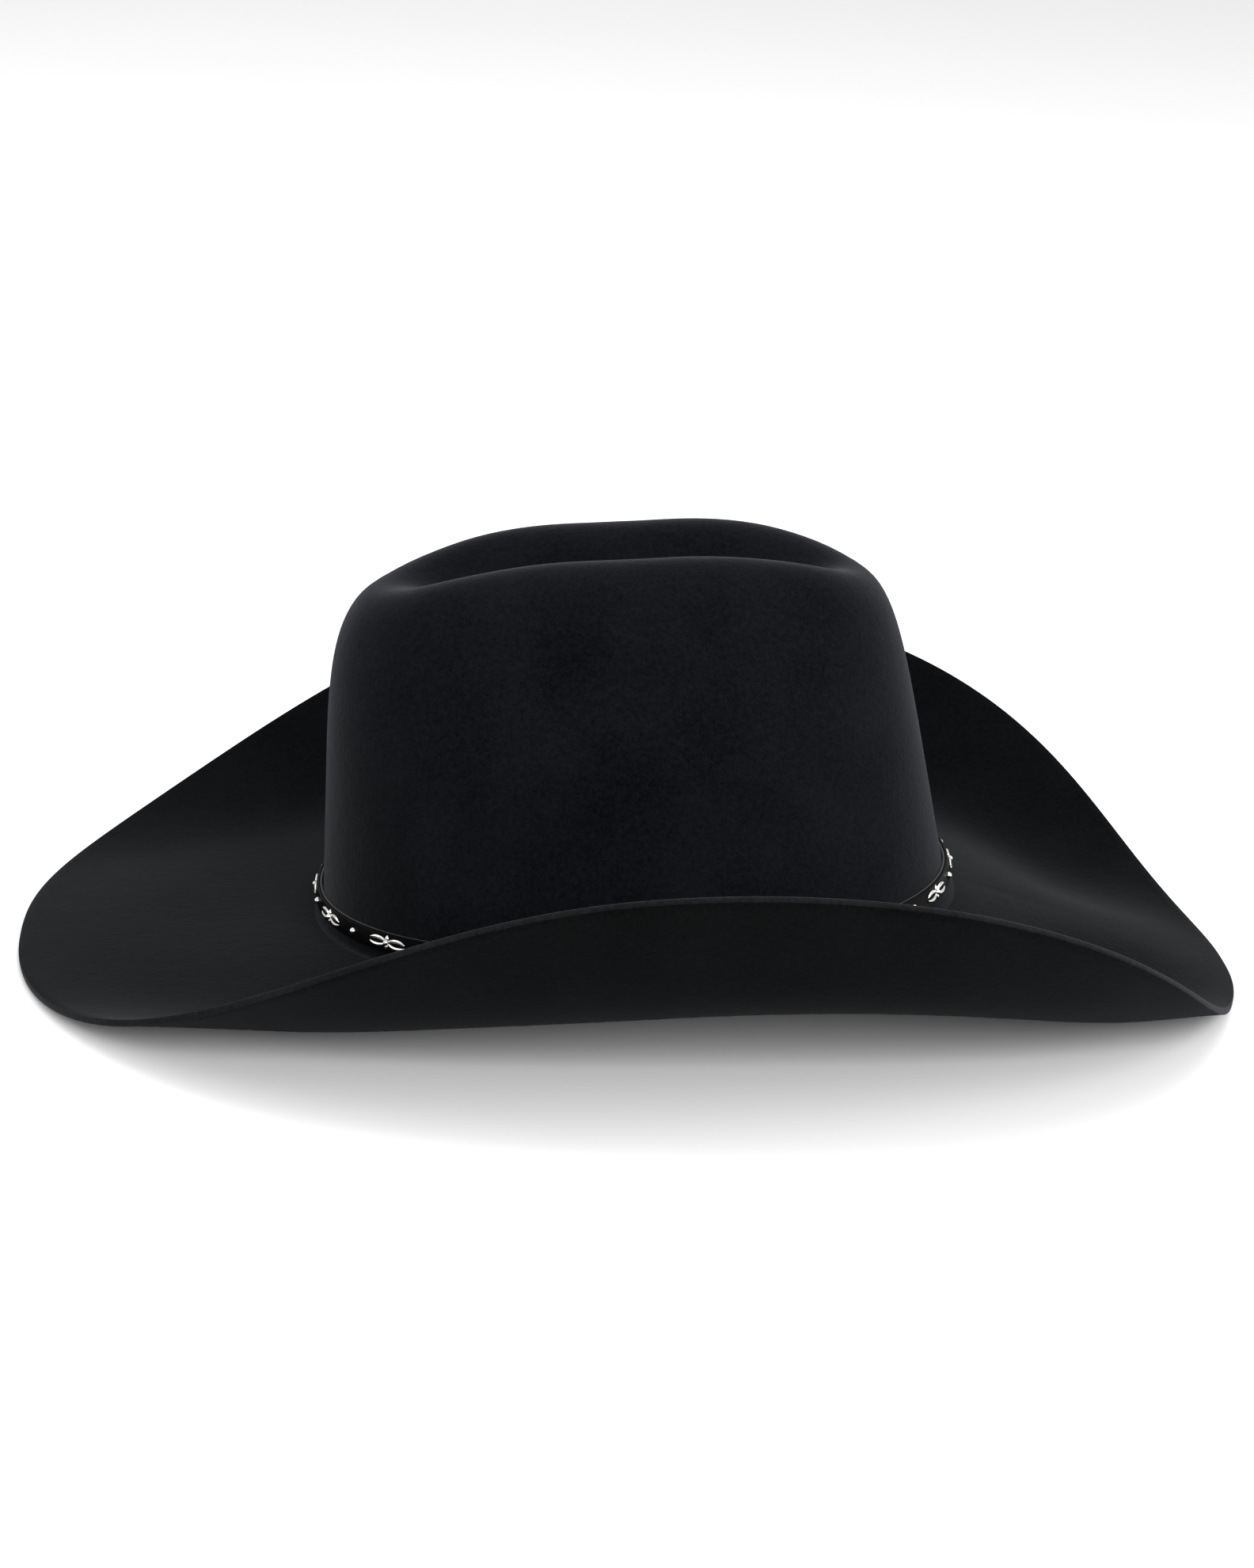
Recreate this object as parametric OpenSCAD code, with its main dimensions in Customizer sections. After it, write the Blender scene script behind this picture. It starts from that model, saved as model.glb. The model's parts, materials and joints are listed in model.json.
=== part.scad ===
// Western felt hat: a creased felt body with a shaped brim, a leather sweatband and a
// satin lining inside, and a studded leather hat band with a three-piece buckle set.
// +X is the front, +Y the wearer's left, +Z up. The hat stands on its brim at z = 0.

/* [Head opening] */
// Length of the head oval, along the middle of the felt
head_l = 205; // [190:1:220]
// Width of the head oval, along the middle of the felt
head_w = 174; // [160:1:186]
// Roundness exponent of the head oval, 2 is an ellipse
head_round = 2.12; // [2:0.02:2.4]

/* [Felt] */
// Thickness of the felt
felt_t = 2.3; // [1.8:0.1:2.8]
// Length of the rounding between crown and brim
break_r = 2.5; // [2.5:0.1:4]

/* [Crown] */
// Height of an uncreased crown above the break
crown_h = 126; // [118:1:132]
// Share of its length that the front loses towards the top
lean_front = 0.165; // [0.12:0.005:0.19]
// Share of its length that the back loses towards the top
lean_back = 0.085; // [0.05:0.005:0.13]
// Share of its width that the crown loses towards the top
lean_side = 0.435; // [0.38:0.005:0.45]
// Squareness of the shoulder at the front
shoulder_front = 8.5; // [6:0.5:9]
// Squareness of the shoulder at the back
shoulder_back = 7.5; // [6:0.5:9]
// Squareness of the shoulder at the sides
shoulder_side = 3.4; // [2.8:0.1:3.6]
// How far the ridge line falls at the front
fall_front = 12.5; // [8:0.5:17]
// How far the ridge line falls at the back
fall_back = 15; // [10:0.5:20]
// Depth of the crease along the top
crease_depth = 22; // [15:0.5:25]
// Half width of the crease
crease_w = 17.5; // [16:0.5:22]
// Half length of the crease
crease_l = 82; // [70:1:90]
// Depth of the dent in each side
dent_depth = 3; // [0:0.25:5]
// Height of the dent above the break
dent_z = 86; // [75:1:92]

/* [Brim] */
// Reach of the front edge from the middle of the head
reach_front = 198; // [190:0.5:206]
// Reach of the back edge from the middle of the head
reach_back = 203; // [190:0.5:210]
// Half width across the turned-up sides
half_w = 168; // [160:0.5:175]
// Height of the side edges above the break
side_rise = 55.5; // [45:0.5:62]
// Height of the front tip above the break
front_tip = -37; // [-42:0.5:-30]
// Height of the back tip above the break
back_tip = -2.5; // [-12:0.5:4]
// Tilt of the hat where it stands on its brim, front end up
rest_pitch = 4.9; // [3.5:0.1:6]

/* [Hat band] */
// Height of the leather strap
strap_w = 5.8; // [5:0.1:7]
// Height of the strap's lower edge above the break
strap_foot = 4.3; // [2.8:0.1:5]
// Thickness of the strap's glossy face leather
face_t = 1; // [0.8:0.1:1.2]
// Thickness of the strap's backing leather
backing_t = 0.8; // [0.6:0.1:1]
// Distance between neighbouring flower studs
flower_pitch = 34; // [30:0.5:45]
// Length of a flower stud
flower_l = 15.6; // [12:0.2:18]
// Height of a flower stud
flower_h = 4.9; // [4:0.1:5.6]

/* [Inside] */
// Height of the leather sweatband
sweat_h = 44; // [35:1:50]
// Thickness of the sweatband
sweat_t = 1; // [0.8:0.1:1.4]
// Thickness of the lining satin
lining_t = 0.5; // [0.4:0.1:0.6]

/* [Hidden] */
$fn = 32;

segs = 72;                 // steps round the felt
skin = felt_t/2;           // from the felt's middle to either face
gap = 0.3;                 // clearance between stacked layers
felt_col = [0.06, 0.065, 0.08];
leather_col = [0.05, 0.05, 0.055];
backing_col = [0.55, 0.55, 0.56];
satin_col = [0.12, 0.12, 0.15];
thread_col = [0.2, 0.2, 0.22];
silver_col = [0.82, 0.82, 0.84];

// ---- small helpers ----
function lerp(a, b, t) = a + (b - a)*t;
function clip(x) = min(max(x, 0), 1);
function smooth(x) = let (t = clip(x)) t*t*(3 - 2*t);
function mag(x, p) = pow(max(abs(x), 1e-4), p);
function side(x) = x < 0 ? -1 : 1;
function unit(v) = v/norm(v);
function rev(list) = [for (i = [len(list) - 1:-1:0]) list[i]];

// ---- head oval and its outward direction ----
function oval(phi) = [
    side(cos(phi))*head_l/2*mag(cos(phi), 2/head_round),
    side(sin(phi))*head_w/2*mag(sin(phi), 2/head_round)];
function oval_out(phi) = let (p = oval(phi), n = head_round - 1) unit([
    side(p.x)*mag(2*p.x/head_l, n)/head_l,
    side(p.y)*mag(2*p.y/head_w, n)/head_w]);

// ---- crown: a squared dome that leans in, with ridge, crease and side dents ----
function ridge_h(x) = let (s = x/(head_l/2))
    crown_h - (s > 0 ? fall_front*pow(s, 1.5) : fall_back*s*s);
function crease(x, y) = let (w = 1 - mag(x/crease_l, 3))
    crease_depth*(w + sqrt(w*w + 0.06))/2*exp(-pow(y/crease_w, 2));
function dent(x, z) = let (line = dent_z + 20*pow(x/55, 2))
    dent_depth*smooth((82 - abs(x))/30)*exp(-pow((z - line)/11, 2));
// a runs from 0 at the break to 90 at the middle of the top
function crown(phi, a) = let (
    s2 = pow(sin(phi), 2),
    m = lerp(cos(phi) > 0 ? shoulder_front : shoulder_back, shoulder_side,
             mag(sin(phi), 1.7)),
    k = pow(mag(cos(a), m) + mag(sin(a), m), 1/m),
    rho = cos(a)/k, up = sin(a)/k, base = oval(phi),
    x = base.x*rho*(1 - (cos(phi) > 0 ? lean_front : lean_back)*up),
    y0 = base.y*rho*(1 - lean_side*up),
    z = up*(ridge_h(x) - crease(x, y0)),
    y = y0 - side(y0)*s2*dent(x, z)*smooth(abs(y0)/30))
    [x, y, z];

// ---- brim: a curve from the head oval out to a shaped edge ----
// a power curve from 0 to 1 that starts level, so the front has no kink
function ease_in(s, p) = let (k = 0.22)
    (pow(s*s + k*k, p/2) - pow(k, p))/(pow(1 + k*k, p/2) - pow(k, p));
// c and s are the cosine and sine round the head, f picks the front or the back value
function brim(phi, t) = let (
    c = max(abs(cos(phi)), 1e-4), s = max(abs(sin(phi)), 1e-4), f = cos(phi) > 0,
    base = oval(phi), out = oval_out(phi),
    blunt = pow(1 - pow(s, 5.5), 0.505)*(1 - 0.3*(sqrt(s*s + 0.02) - sqrt(0.02))),
    edge_x = (f ? reach_front*blunt : -reach_back*pow(c, 0.93)) + 3*s*s,
    edge_y = side(sin(phi))*half_w*pow(s, f ? 0.815 : 0.85),
    tip = f ? front_tip : back_tip,
    edge_z = tip + (side_rise - tip)*pow(s, f ? 2.035 : 3.97),
    run = norm([edge_x, edge_y] - base), dir = ([edge_x, edge_y] - base)/run,
    slope_in = (f ? -22.6 : -6.6)*(1 - pow(s, 1.23)),
    slope_edge = lerp(f ? -22 : -7.6, 64.7, f ? ease_in(s, 0.362) : pow(s, 2.36)),
    pull = 0.512*norm([run, edge_z]),
    b0 = [base.x, base.y, 0],
    b3 = [edge_x, edge_y, edge_z],
    b1 = b0 + pull*[out.x*cos(slope_in), out.y*cos(slope_in), sin(slope_in)],
    b2 = b3 - pull*[dir.x*cos(slope_edge), dir.y*cos(slope_edge), sin(slope_edge)],
    u = 1 - t)
    u*u*u*b0 + 3*t*u*u*b1 + 3*t*t*u*b2 + t*t*t*b3;

// ---- the felt's middle surface: v is 0 at the brim edge, 1 to 2 round the break,
//      and 3 at the middle of the top ----
start_a = atan(break_r/crown_h);
start_t = break_r/103;
function middle(phi, v) =
    v <= 1 ? brim(phi, lerp(1, start_t, v)) :
    v >= 2 ? crown(phi, lerp(start_a, 90, v - 2)) :
    let (w = v - 1, o = oval(phi))
        (1 - w)*(1 - w)*brim(phi, start_t) + 2*w*(1 - w)*[o.x, o.y, 0]
        + w*w*crown(phi, start_a);
function normal(phi, v) = let (dv = 0.004, v0 = max(v - dv, 0), v1 = min(v + dv, 2.999))
    unit(cross(middle(phi + 0.5, v) - middle(phi - 0.5, v),
               middle(phi, v1) - middle(phi, v0)));
function felt(phi, v, off) = middle(phi, v) + off*normal(phi, v);
// a point on the crown's wall at a height above the break
function wall_v(phi, h) = let (o = oval(phi))
    2 + (atan(h/(ridge_h(o.x) - crease(o.x, o.y))) - start_a)/(90 - start_a);
function wall(phi, h, off) = let (v = wall_v(phi, max(h, break_r)), n = normal(phi, v))
    middle(phi, v) + off*n + [0, 0, min(h - break_r, 0)];

// ---- triangles over grids of points ----
function quad(a, b, c, d) = [[a, b, c], [a, c, d]];
// rings of equal length joined one to the next; shut joins the last ring to the first
module tube(rings, shut = true) {
    n = len(rings[0]);
    count = len(rings);
    polyhedron([for (r = rings) each r],
        [for (i = [0:count - (shut ? 1 : 2)], j = [0:n - 1])
            let (k = (j + 1) % n, p = i*n, q = ((i + 1) % count)*n)
            each quad(p + j, p + k, q + k, q + j),
         if (!shut) for (j = [1:n - 2]) each [
            [0, j + 1, j],
            [(count - 1)*n, (count - 1)*n + j, (count - 1)*n + j + 1]]]);
}
// a skin between two offsets of the felt, from v0 up to the middle of the top
module dome(vs, off_out, off_in, steps) {
    rows = len(vs);
    outer = [for (v = vs, i = [0:steps - 1]) felt(i*360/steps, v, off_out)];
    inner = [for (v = vs, i = [0:steps - 1]) felt(i*360/steps, v, off_in)];
    top = middle(0, 3);
    m = rows*steps;
    polyhedron([each outer, each inner, top + [0, 0, off_out], top + [0, 0, off_in]],
        [for (r = [0:rows - 2], i = [0:steps - 1]) let (j = (i + 1) % steps, a = r*steps)
            each [each quad(a + i, a + steps + i, a + steps + j, a + j),
                  each quad(m + a + i, m + a + j, m + a + steps + j, m + a + steps + i)],
         for (i = [0:steps - 1]) let (j = (i + 1) % steps, a = m - steps)
            each [each quad(i, j, m + j, m + i),
                  [a + i, 2*m, a + j], [m + a + i, m + a + j, 2*m + 1]]]);
}

// ---- how the hat stands ----
function tilt(p) = [p.x*cos(rest_pitch) - p.z*sin(rest_pitch), p.y,
                    p.x*sin(rest_pitch) + p.z*cos(rest_pitch)];
brim_vs = [for (i = [0:11]) i/11];
break_vs = [1.33, 1.67];
crown_vs = [for (i = [0:20]) 2 + i/21];
felt_vs = concat(brim_vs, break_vs, crown_vs);
under = [for (v = brim_vs, i = [0:segs - 1]) tilt(felt(i*360/segs, v, -skin))];
over = [for (i = [0:segs - 1]) tilt(felt(i*360/segs, 0, skin))];
rim_x = [for (p = concat(under, over)) p.x];
stand = [-(min(rim_x) + max(rim_x))/2, 0, -min([for (p = under) p.z])];
module standing() { translate(stand) rotate([0, -rest_pitch, 0]) children(); }

// ---- hat band path: distance s from the buckle's heel bar, towards the back ----
strap_t = face_t + backing_t;
strap_z = strap_foot + strap_w/2;        // middle height of the strap
lift_z = 3;                              // rise of the strap where the buckle is
step_phi = 2;
// arc length round the band from the left side, as [length, angle] pairs
function band_at(phi) = wall(phi, strap_z, skin + strap_t);
arcs = [for (i = 0, d = 0; i <= 360/step_phi;
        d = d + norm(band_at(90 + (i + 1)*step_phi) - band_at(90 + i*step_phi)),
        i = i + 1) [d, 90 + i*step_phi]];
loop_l = arcs[len(arcs) - 1][0];
function phi_of(s) =
    s < 0 ? lookup(s + loop_l, arcs) - 360 :
    s > loop_l ? lookup(s - loop_l, arcs) + 360 : lookup(s, arcs);
chape_s = 5;                             // where the strap starts, behind the heel bar
billet_s = 36;                           // how far the free end overlaps
keeper_s = 18;
bar_y = 1.9;                             // heel bar above the felt
over_y = 3.5;                            // inner face of the free end above the felt
function near_buckle(s) = min(abs(s), abs(s - loop_l));
function strap_h(s) = strap_z + lift_z*(1 - smooth((near_buckle(s) - 22)/45));
// inner face of the strap above the felt, along the strap from s = chape_s
function strap_r(s) = s > loop_l/2
    ? lerp(gap, over_y, smooth((s - loop_l + 10)/9))
    : lerp(1.2, gap, smooth((s - 26)/14));
strap_ss = concat(
    [for (i = [0:9]) chape_s + i*4.5],
    [for (i = [1:58]) lerp(chape_s + 40.5, loop_l - 40, i/58)],
    [for (i = [1:14]) loop_l - 40 + i*2],
    [for (i = [1:12]) loop_l - 12 + i],
    [for (i = [1:9]) loop_l + i*4]);
module strap_layer(r0, r1, ss) {
    c = 0.25;                            // rounding of the long edges
    tube([for (s = ss) let (phi = phi_of(s), h = strap_h(s), r = strap_r(s) + skin,
            w = strap_w/2)
        [wall(phi, h - w + c, r + r0), wall(phi, h - w, r + r0 + c),
         wall(phi, h - w, r + r1 - c), wall(phi, h - w + c, r + r1),
         wall(phi, h + w - c, r + r1), wall(phi, h + w, r + r1 - c),
         wall(phi, h + w, r + r0 + c), wall(phi, h + w - c, r + r0)]], shut = false);
}
// a frame on the strap: X runs forward along it on the left side, Y away from the felt
// and Z up the wall
module on_band(s, r) {
    phi = phi_of(s);
    v = wall_v(phi, strap_h(s));
    n = normal(phi, v);
    t = unit(cross(n, [0, 0, 1]));
    u = cross(t, n);
    p = middle(phi, v) + (skin + r)*n;
    multmatrix([[t.x, n.x, u.x, p.x], [t.y, n.y, u.y, p.y], [t.z, n.z, u.z, p.z],
        [0, 0, 0, 1]]) children();
}
// the same on the buckle's own flat
module on_buckle() { on_band(0, 0) children(); }

// ---- studs ----
first_flower_s = 80;
stud_count = floor((loop_l - first_flower_s - 50)/flower_pitch) + 1;
flower_ss = [for (i = [0:stud_count - 1]) first_flower_s + i*flower_pitch];
bead_ss = [for (i = [0:stud_count]) first_flower_s + (i - 0.5)*flower_pitch];
stud_t = 0.7;                            // height of a petal
sink_t = 0.5;                            // depth of a stud's foot in the leather
bead_r = 1.15;
// a leaf outline from the origin along X, pointed at both ends
module leaf(l, w) {
    steps = 6;
    half = [for (i = [0:steps]) [l*i/steps, w/2*sin(180*i/steps)]];
    polygon(concat(half, [for (i = [steps - 1:-1:1]) [half[i].x, -half[i].y]]));
}
// a slim petal from the origin to [l, rise], bowed to the side and pointed at both ends
module crescent(l, rise, bow, w) {
    steps = 6;
    function edge(i, d) = [l*i/steps, rise*i/steps + (bow + d)*sin(180*i/steps)];
    polygon(concat([for (i = [0:steps]) edge(i, w/2)],
                   [for (i = [steps - 1:-1:1]) edge(i, -w/2)]));
}
// a round dome on a foot, turned in one piece; the leather's face is at z = 0
module bead(base) {
    rotate_extrude() polygon(concat(
        [[0, -sink_t], [0.8, -sink_t], [0.8, 0.05], [bead_r, 0.05]],
        [for (a = [0:15:75]) [bead_r*cos(a), base + bead_r*sin(a)]],
        [[0, base + bead_r]]));
}
module flower() {
    tip = 0.17*flower_h;                 // a petal's tip, off the stud's middle line
    bow = 0.2*flower_h;                  // how far a petal bows away from that line
    petal_w = 1.1;
    leaf_w = 1.9;
    rotate([-90, 0, 0]) {
        linear_extrude(stud_t) {
            // a bowed pair to each side, and a short leaf up and down
            for (a = [0, 1], b = [0, 1]) mirror([a, 0]) mirror([0, b])
                crescent(flower_l/2, tip, bow, petal_w);
            for (turn = [90, 270]) rotate(turn) leaf(flower_h/2, leaf_w);
        }
        bead(stud_t - 0.1);
    }
}

// ---- sub-parts ----
module felt_body() {
    color(felt_col) standing() dome(felt_vs, skin, -skin, segs);
}
// a strip inside the crown between two heights and two depths
module strip(h0, h1, off_a, off_b, phi0, phi1, steps, rows = 2) {
    hs = [for (i = [0:rows]) lerp(h0, h1, i/rows)];
    tube([for (i = [0:steps]) let (phi = lerp(phi0, phi1, i/steps)) concat(
        [for (h = hs) wall(phi, h, -off_a)],
        [for (h = rev(hs)) wall(phi, h, -off_b)])], shut = false);
}
lining_off = skin + 0.65;                // faces of the layers, inward from the felt
tab_off = lining_off + lining_t + 0.15;
tab_t = 0.6;
sweat_off = tab_off + tab_t + 0.2;
reed_r = 0.9;
tape_r = 1.35;
reed_off = skin + 0.2 + tape_r;
reed_h = -0.5;
cord_steps = 48;                         // rings of the reed and of its tape
module sweatband() {
    color(leather_col) standing()
        strip(1.6, sweat_h, sweat_off, sweat_off + sweat_t, 180.3, 539.7, 72, 3);
}
function ring_round(phi, h, off, r, n) = let (
    p = wall(phi, h, -off), o = oval_out(phi))
    [for (i = [0:n - 1]) p + r*cos(i*360/n)*[o.x, o.y, 0] + [0, 0, r*sin(i*360/n)]];
module round_cord(h, off, r, n, steps) {
    tube([for (i = [0:steps - 1]) ring_round(i*360/steps, h, off, r, n)]);
}
module sweatband_reed() {
    color("ivory") standing() round_cord(reed_h, reed_off, reed_r, 8, cord_steps);
}
module reed_tape() {
    wrap = 8;                            // steps round the reed, open where it is sewn
    color([0.1, 0.1, 0.11]) standing() tube([for (i = [0:cord_steps - 1]) let (
        phi = i*360/cord_steps, p = wall(phi, reed_h, -reed_off), o = oval_out(phi))
        [for (k = [0:wrap]) let (a = 100 + k*320/wrap)
            p + tape_r*[o.x*cos(a), o.y*cos(a), sin(a)],
         for (k = [wrap:-1:0]) let (a = 100 + k*320/wrap)
            p + (reed_r + 0.08)*[o.x*cos(a), o.y*cos(a), sin(a)]]]);
}
module sweatband_stitches() {
    count = 96;
    color(thread_col) standing() for (i = [0:count - 1]) let (
        phi = i*360/count, o = oval_out(phi),
        p = wall(phi, reed_h - tape_r - 0.3, -reed_off))
        translate(p) rotate([0, 0, atan2(o.y, o.x)]) rotate([90, 0, 0])
            cylinder(h = 3.2, r = 0.22, center = true, $fn = 16);
}
module sweatband_seam_tab() {
    color(leather_col) standing()
        strip(6, sweat_h - 3, tab_off, tab_off + tab_t, 175, 185, 6, 2);
}
bow_h = 9;
module bow_loop() {
    // a ribbon loop lying flat, 8 mm long
    rotate([90, 0, 0]) linear_extrude(1.6, center = true) difference() {
        translate([0.9, 0]) leaf(8.6, 5.2);
        translate([2.2, 0]) leaf(6, 3.2);
    }
}
module sweatband_bow() {
    p = wall(180, bow_h, -(sweat_off + sweat_t + 1.7));
    color([0.09, 0.09, 0.1]) standing() translate(p) rotate([0, 0, -90]) {
        bow_loop();
        mirror([1, 0, 0]) bow_loop();
        cube([2.6, 1.9, 2.6], center = true);
    }
}
seam_a = 47;                             // where the lining's side meets its tip
function seam_v(a) = 2 + (a - start_a)/(90 - start_a);
module lining_side() {
    rows = 7;
    color(satin_col) standing() tube([for (i = [0:59]) let (phi = i*6,
        v0 = wall_v(phi, 18), v1 = seam_v(seam_a),
        vs = [for (k = [0:rows]) lerp(v0, v1, k/rows)])
        concat([for (v = vs) felt(phi, v, -lining_off)],
               [for (v = rev(vs)) felt(phi, v, -lining_off - lining_t)])]);
}
module lining_tip() {
    color(satin_col) standing()
        dome([for (i = [0:7]) lerp(seam_v(seam_a + 1), 3, i/8)],
            -lining_off, -lining_off - lining_t, 60);
}
module lining_piping() {
    r = 0.7;
    color(satin_col) standing() tube([for (i = [0:59]) let (phi = i*6,
        p = felt(phi, seam_v(seam_a + 0.5), -lining_off - lining_t - r - 0.12),
        o = oval_out(phi))
        [for (k = [0:5]) p + r*[o.x*cos(k*60), o.y*cos(k*60), sin(k*60)]]]);
}
// ---- hat band and buckle set ----
slot_l = 8.5;
slot_w = 2.2;
module prong_slot() {
    // long hole in the free end that the prong comes up through
    on_buckle() translate([slot_w/2 - 0.1, 8, 0]) rotate([90, 0, 0]) linear_extrude(8) {
        translate([0, -slot_w/2]) square([slot_l - slot_w, slot_w]);
        circle(d = slot_w);
        translate([slot_l - slot_w, 0]) circle(d = slot_w);
    }
}
fold_r = 1.1;                            // outer radius of the leather round the bar
bar_r = 0.6;
module band_strap() {
    color(leather_col) standing() {
        difference() {
            strap_layer(backing_t + 0.06, strap_t, strap_ss);
            prong_slot();
        }
        on_buckle() difference() {
            union() {
                translate([0, bar_y, 0]) cylinder(h = strap_w - 1, r = fold_r, center = true);
                translate([-3.4, bar_y, 0])
                    cube([6.8, 2*fold_r, strap_w - 1], center = true);
            }
            translate([0, bar_y, 0]) cylinder(h = strap_w, r = bar_r + 0.08, center = true);
            translate([0, bar_y, 0]) cube([6, 3, 2.8], center = true);
        }
    }
}
module band_backing() {
    color(backing_col) standing() difference() {
        strap_layer(0, backing_t, [for (s = strap_ss) if (s > chape_s + 3) s]);
        prong_slot();
    }
}
module flower_studs() {
    color(silver_col) standing() for (s = flower_ss)
        on_band(s, strap_r(s) + strap_t + 0.02) flower();
}
module bead_studs() {
    color(silver_col) standing() for (s = bead_ss)
        on_band(s, strap_r(s) + strap_t + 0.02) rotate([-90, 0, 0]) bead(0.2);
}
frame_in = strap_w + 1;                  // height of the buckle's opening
rail = 1.9;                              // width of the buckle's rails
frame_y0 = 0.7;                          // underside of the side rails above the felt
frame_y1 = 4.9;
heel_x = -2.4;                           // rear end of the frame
front_x = 13.6;
module buckle_frame() {
    color(silver_col) standing() on_buckle() difference() {
        union() {
            for (flip = [0, 1]) mirror([0, 0, flip])
                translate([0, 0, frame_in/2]) side_rail();
            front_bar();
        }
        translate([0, bar_y, 0]) cylinder(h = 30, r = bar_r + 0.02, center = true);
    }
}
module side_rail() {
    // arched side of the frame, seen from the edge
    linear_extrude(rail) {
        translate([0, bar_y]) circle(r = 1.5);
        polygon([[0, bar_y - 1.5], [front_x - 1, frame_y1 - 2.1], [front_x, frame_y1 - 1.5],
            [front_x, frame_y1 - 0.6], [front_x - 1, frame_y1], [6, frame_y1 + 0.2],
            [2, frame_y1 - 0.4], [0, bar_y + 1.5]]);
    }
}
module front_bar() {
    translate([front_x - 1.3, frame_y1 - 1.1, 0])
        cylinder(h = frame_in + 0.2, r = 1.05, center = true);
}
module buckle_bar() {
    color(silver_col) standing() on_buckle() translate([0, bar_y, 0])
        cylinder(h = frame_in + 2*rail, r = bar_r, center = true);
}
prong_w = 1.6;
module buckle_prong() {
    reach = front_x - 0.4;
    rise = frame_y1 + 0.55 - bar_y;
    color(silver_col) standing() on_buckle() translate([0, bar_y, 0]) difference() {
        union() {
            cylinder(h = prong_w, r = 1.15, center = true);
            linear_extrude(prong_w, center = true)
                polygon([[0, 0.1], [reach*0.55, rise*0.5 + 0.15], [reach - 1.4, rise - 0.35],
                    [reach, rise - 0.45], [reach + 0.3, rise], [reach - 0.4, rise + 0.35],
                    [reach - 1.8, rise + 0.45], [reach*0.55, rise*0.5 + 1.15], [0, 1.15]]);
        }
        cylinder(h = 5, r = bar_r + 0.06, center = true);
    }
}
keeper_w = 5;
module keeper_loop() {
    inner_h = strap_w*1.05 + 0.6;
    inner_y = 4.8;
    color(silver_col) standing() on_band(keeper_s, 3.25) difference() {
        cube([keeper_w, inner_y + 1, inner_h + 1.6], center = true);
        cube([keeper_w + 1, inner_y, inner_h], center = true);
    }
}
module billet_tip() {
    // metal cap closed round the strap's free end
    inner_h = strap_w*1.05 + 0.8;
    wall_t = 0.4;
    mouth = 4.5;                         // how far the strap goes in
    color(silver_col) standing() on_band(billet_s + 0.6, over_y + strap_t/2)
        difference() {
            rotate([-90, 0, 0]) linear_extrude(strap_t + 1.2, center = true) union() {
                translate([0, -inner_h/2 - wall_t])
                    square([mouth, inner_h + 2*wall_t]);
                intersection() {
                    circle(r = inner_h/2 + wall_t);
                    translate([-20, -10]) square([20.01, 20]);
                }
            }
            translate([mouth/2 + 0.5, 0, 0])
                cube([mouth + 1, strap_t + 0.4, inner_h], center = true);
        }
}
module chape_stitches() {
    color(thread_col) standing() for (row = [-1, 1], i = [0:3])
        on_band(chape_s + 3 + i*2.2, strap_r(chape_s) + strap_t + 0.2)
            translate([0, 0, row*(strap_w/2 - 0.9)]) rotate([0, 90, 0])
                cylinder(h = 1.5, r = 0.18, center = true, $fn = 16);
}

felt_body();
sweatband();
sweatband_reed();
reed_tape();
sweatband_stitches();
sweatband_seam_tab();
sweatband_bow();
lining_side();
lining_tip();
lining_piping();
band_strap();
band_backing();
flower_studs();
bead_studs();
buckle_frame();
buckle_bar();
buckle_prong();
keeper_loop();
billet_tip();
chape_stitches();
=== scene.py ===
import json
import math

import bmesh
import bpy
import numpy as np
from mathutils import Matrix, Vector


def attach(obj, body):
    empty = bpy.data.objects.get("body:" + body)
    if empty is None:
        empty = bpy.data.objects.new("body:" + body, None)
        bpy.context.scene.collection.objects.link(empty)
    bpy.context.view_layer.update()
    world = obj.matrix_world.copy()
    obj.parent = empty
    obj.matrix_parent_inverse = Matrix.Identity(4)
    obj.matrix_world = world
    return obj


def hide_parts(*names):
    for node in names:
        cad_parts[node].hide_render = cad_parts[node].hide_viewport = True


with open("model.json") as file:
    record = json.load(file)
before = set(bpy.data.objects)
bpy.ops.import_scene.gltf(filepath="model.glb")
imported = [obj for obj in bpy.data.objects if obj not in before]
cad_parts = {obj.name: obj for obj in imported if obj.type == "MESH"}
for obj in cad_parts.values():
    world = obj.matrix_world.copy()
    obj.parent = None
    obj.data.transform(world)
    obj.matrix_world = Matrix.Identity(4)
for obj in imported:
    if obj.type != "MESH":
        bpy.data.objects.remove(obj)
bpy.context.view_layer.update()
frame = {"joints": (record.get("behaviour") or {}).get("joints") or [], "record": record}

# The looks of a black felt western hat. Lengths are in millimetres in the hat's own
# frame (origin in the middle of the head opening, at the break between crown and brim,
# +X to the front, +Y to the wearer's left) until place() puts them in the row frame.
MM = 0.001

# ---- driving dimensions, the same as the CAD model's ----
HEAD_L, HEAD_W, HEAD_ROUND = 205.0, 174.0, 2.12
FELT_T, BREAK_R = 2.3, 2.5
SKIN = FELT_T / 2
CROWN_H = 126.0
LEAN_FRONT, LEAN_BACK, LEAN_SIDE = 0.165, 0.085, 0.435
SHOULDER_FRONT, SHOULDER_BACK, SHOULDER_SIDE = 8.5, 7.5, 3.4
FALL_FRONT, FALL_BACK = 12.5, 15.0
CREASE_DEPTH, CREASE_W, CREASE_L = 22.0, 17.5, 82.0
DENT_DEPTH, DENT_Z = 3.0, 86.0
REACH_FRONT, REACH_BACK, HALF_W = 198.0, 203.0, 168.0
SIDE_RISE, FRONT_TIP, BACK_TIP = 55.5, -37.0, -2.5
STRAP_W, STRAP_FOOT, FACE_T, BACKING_T, GAP = 5.8, 4.3, 1.0, 0.8, 0.3
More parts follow.
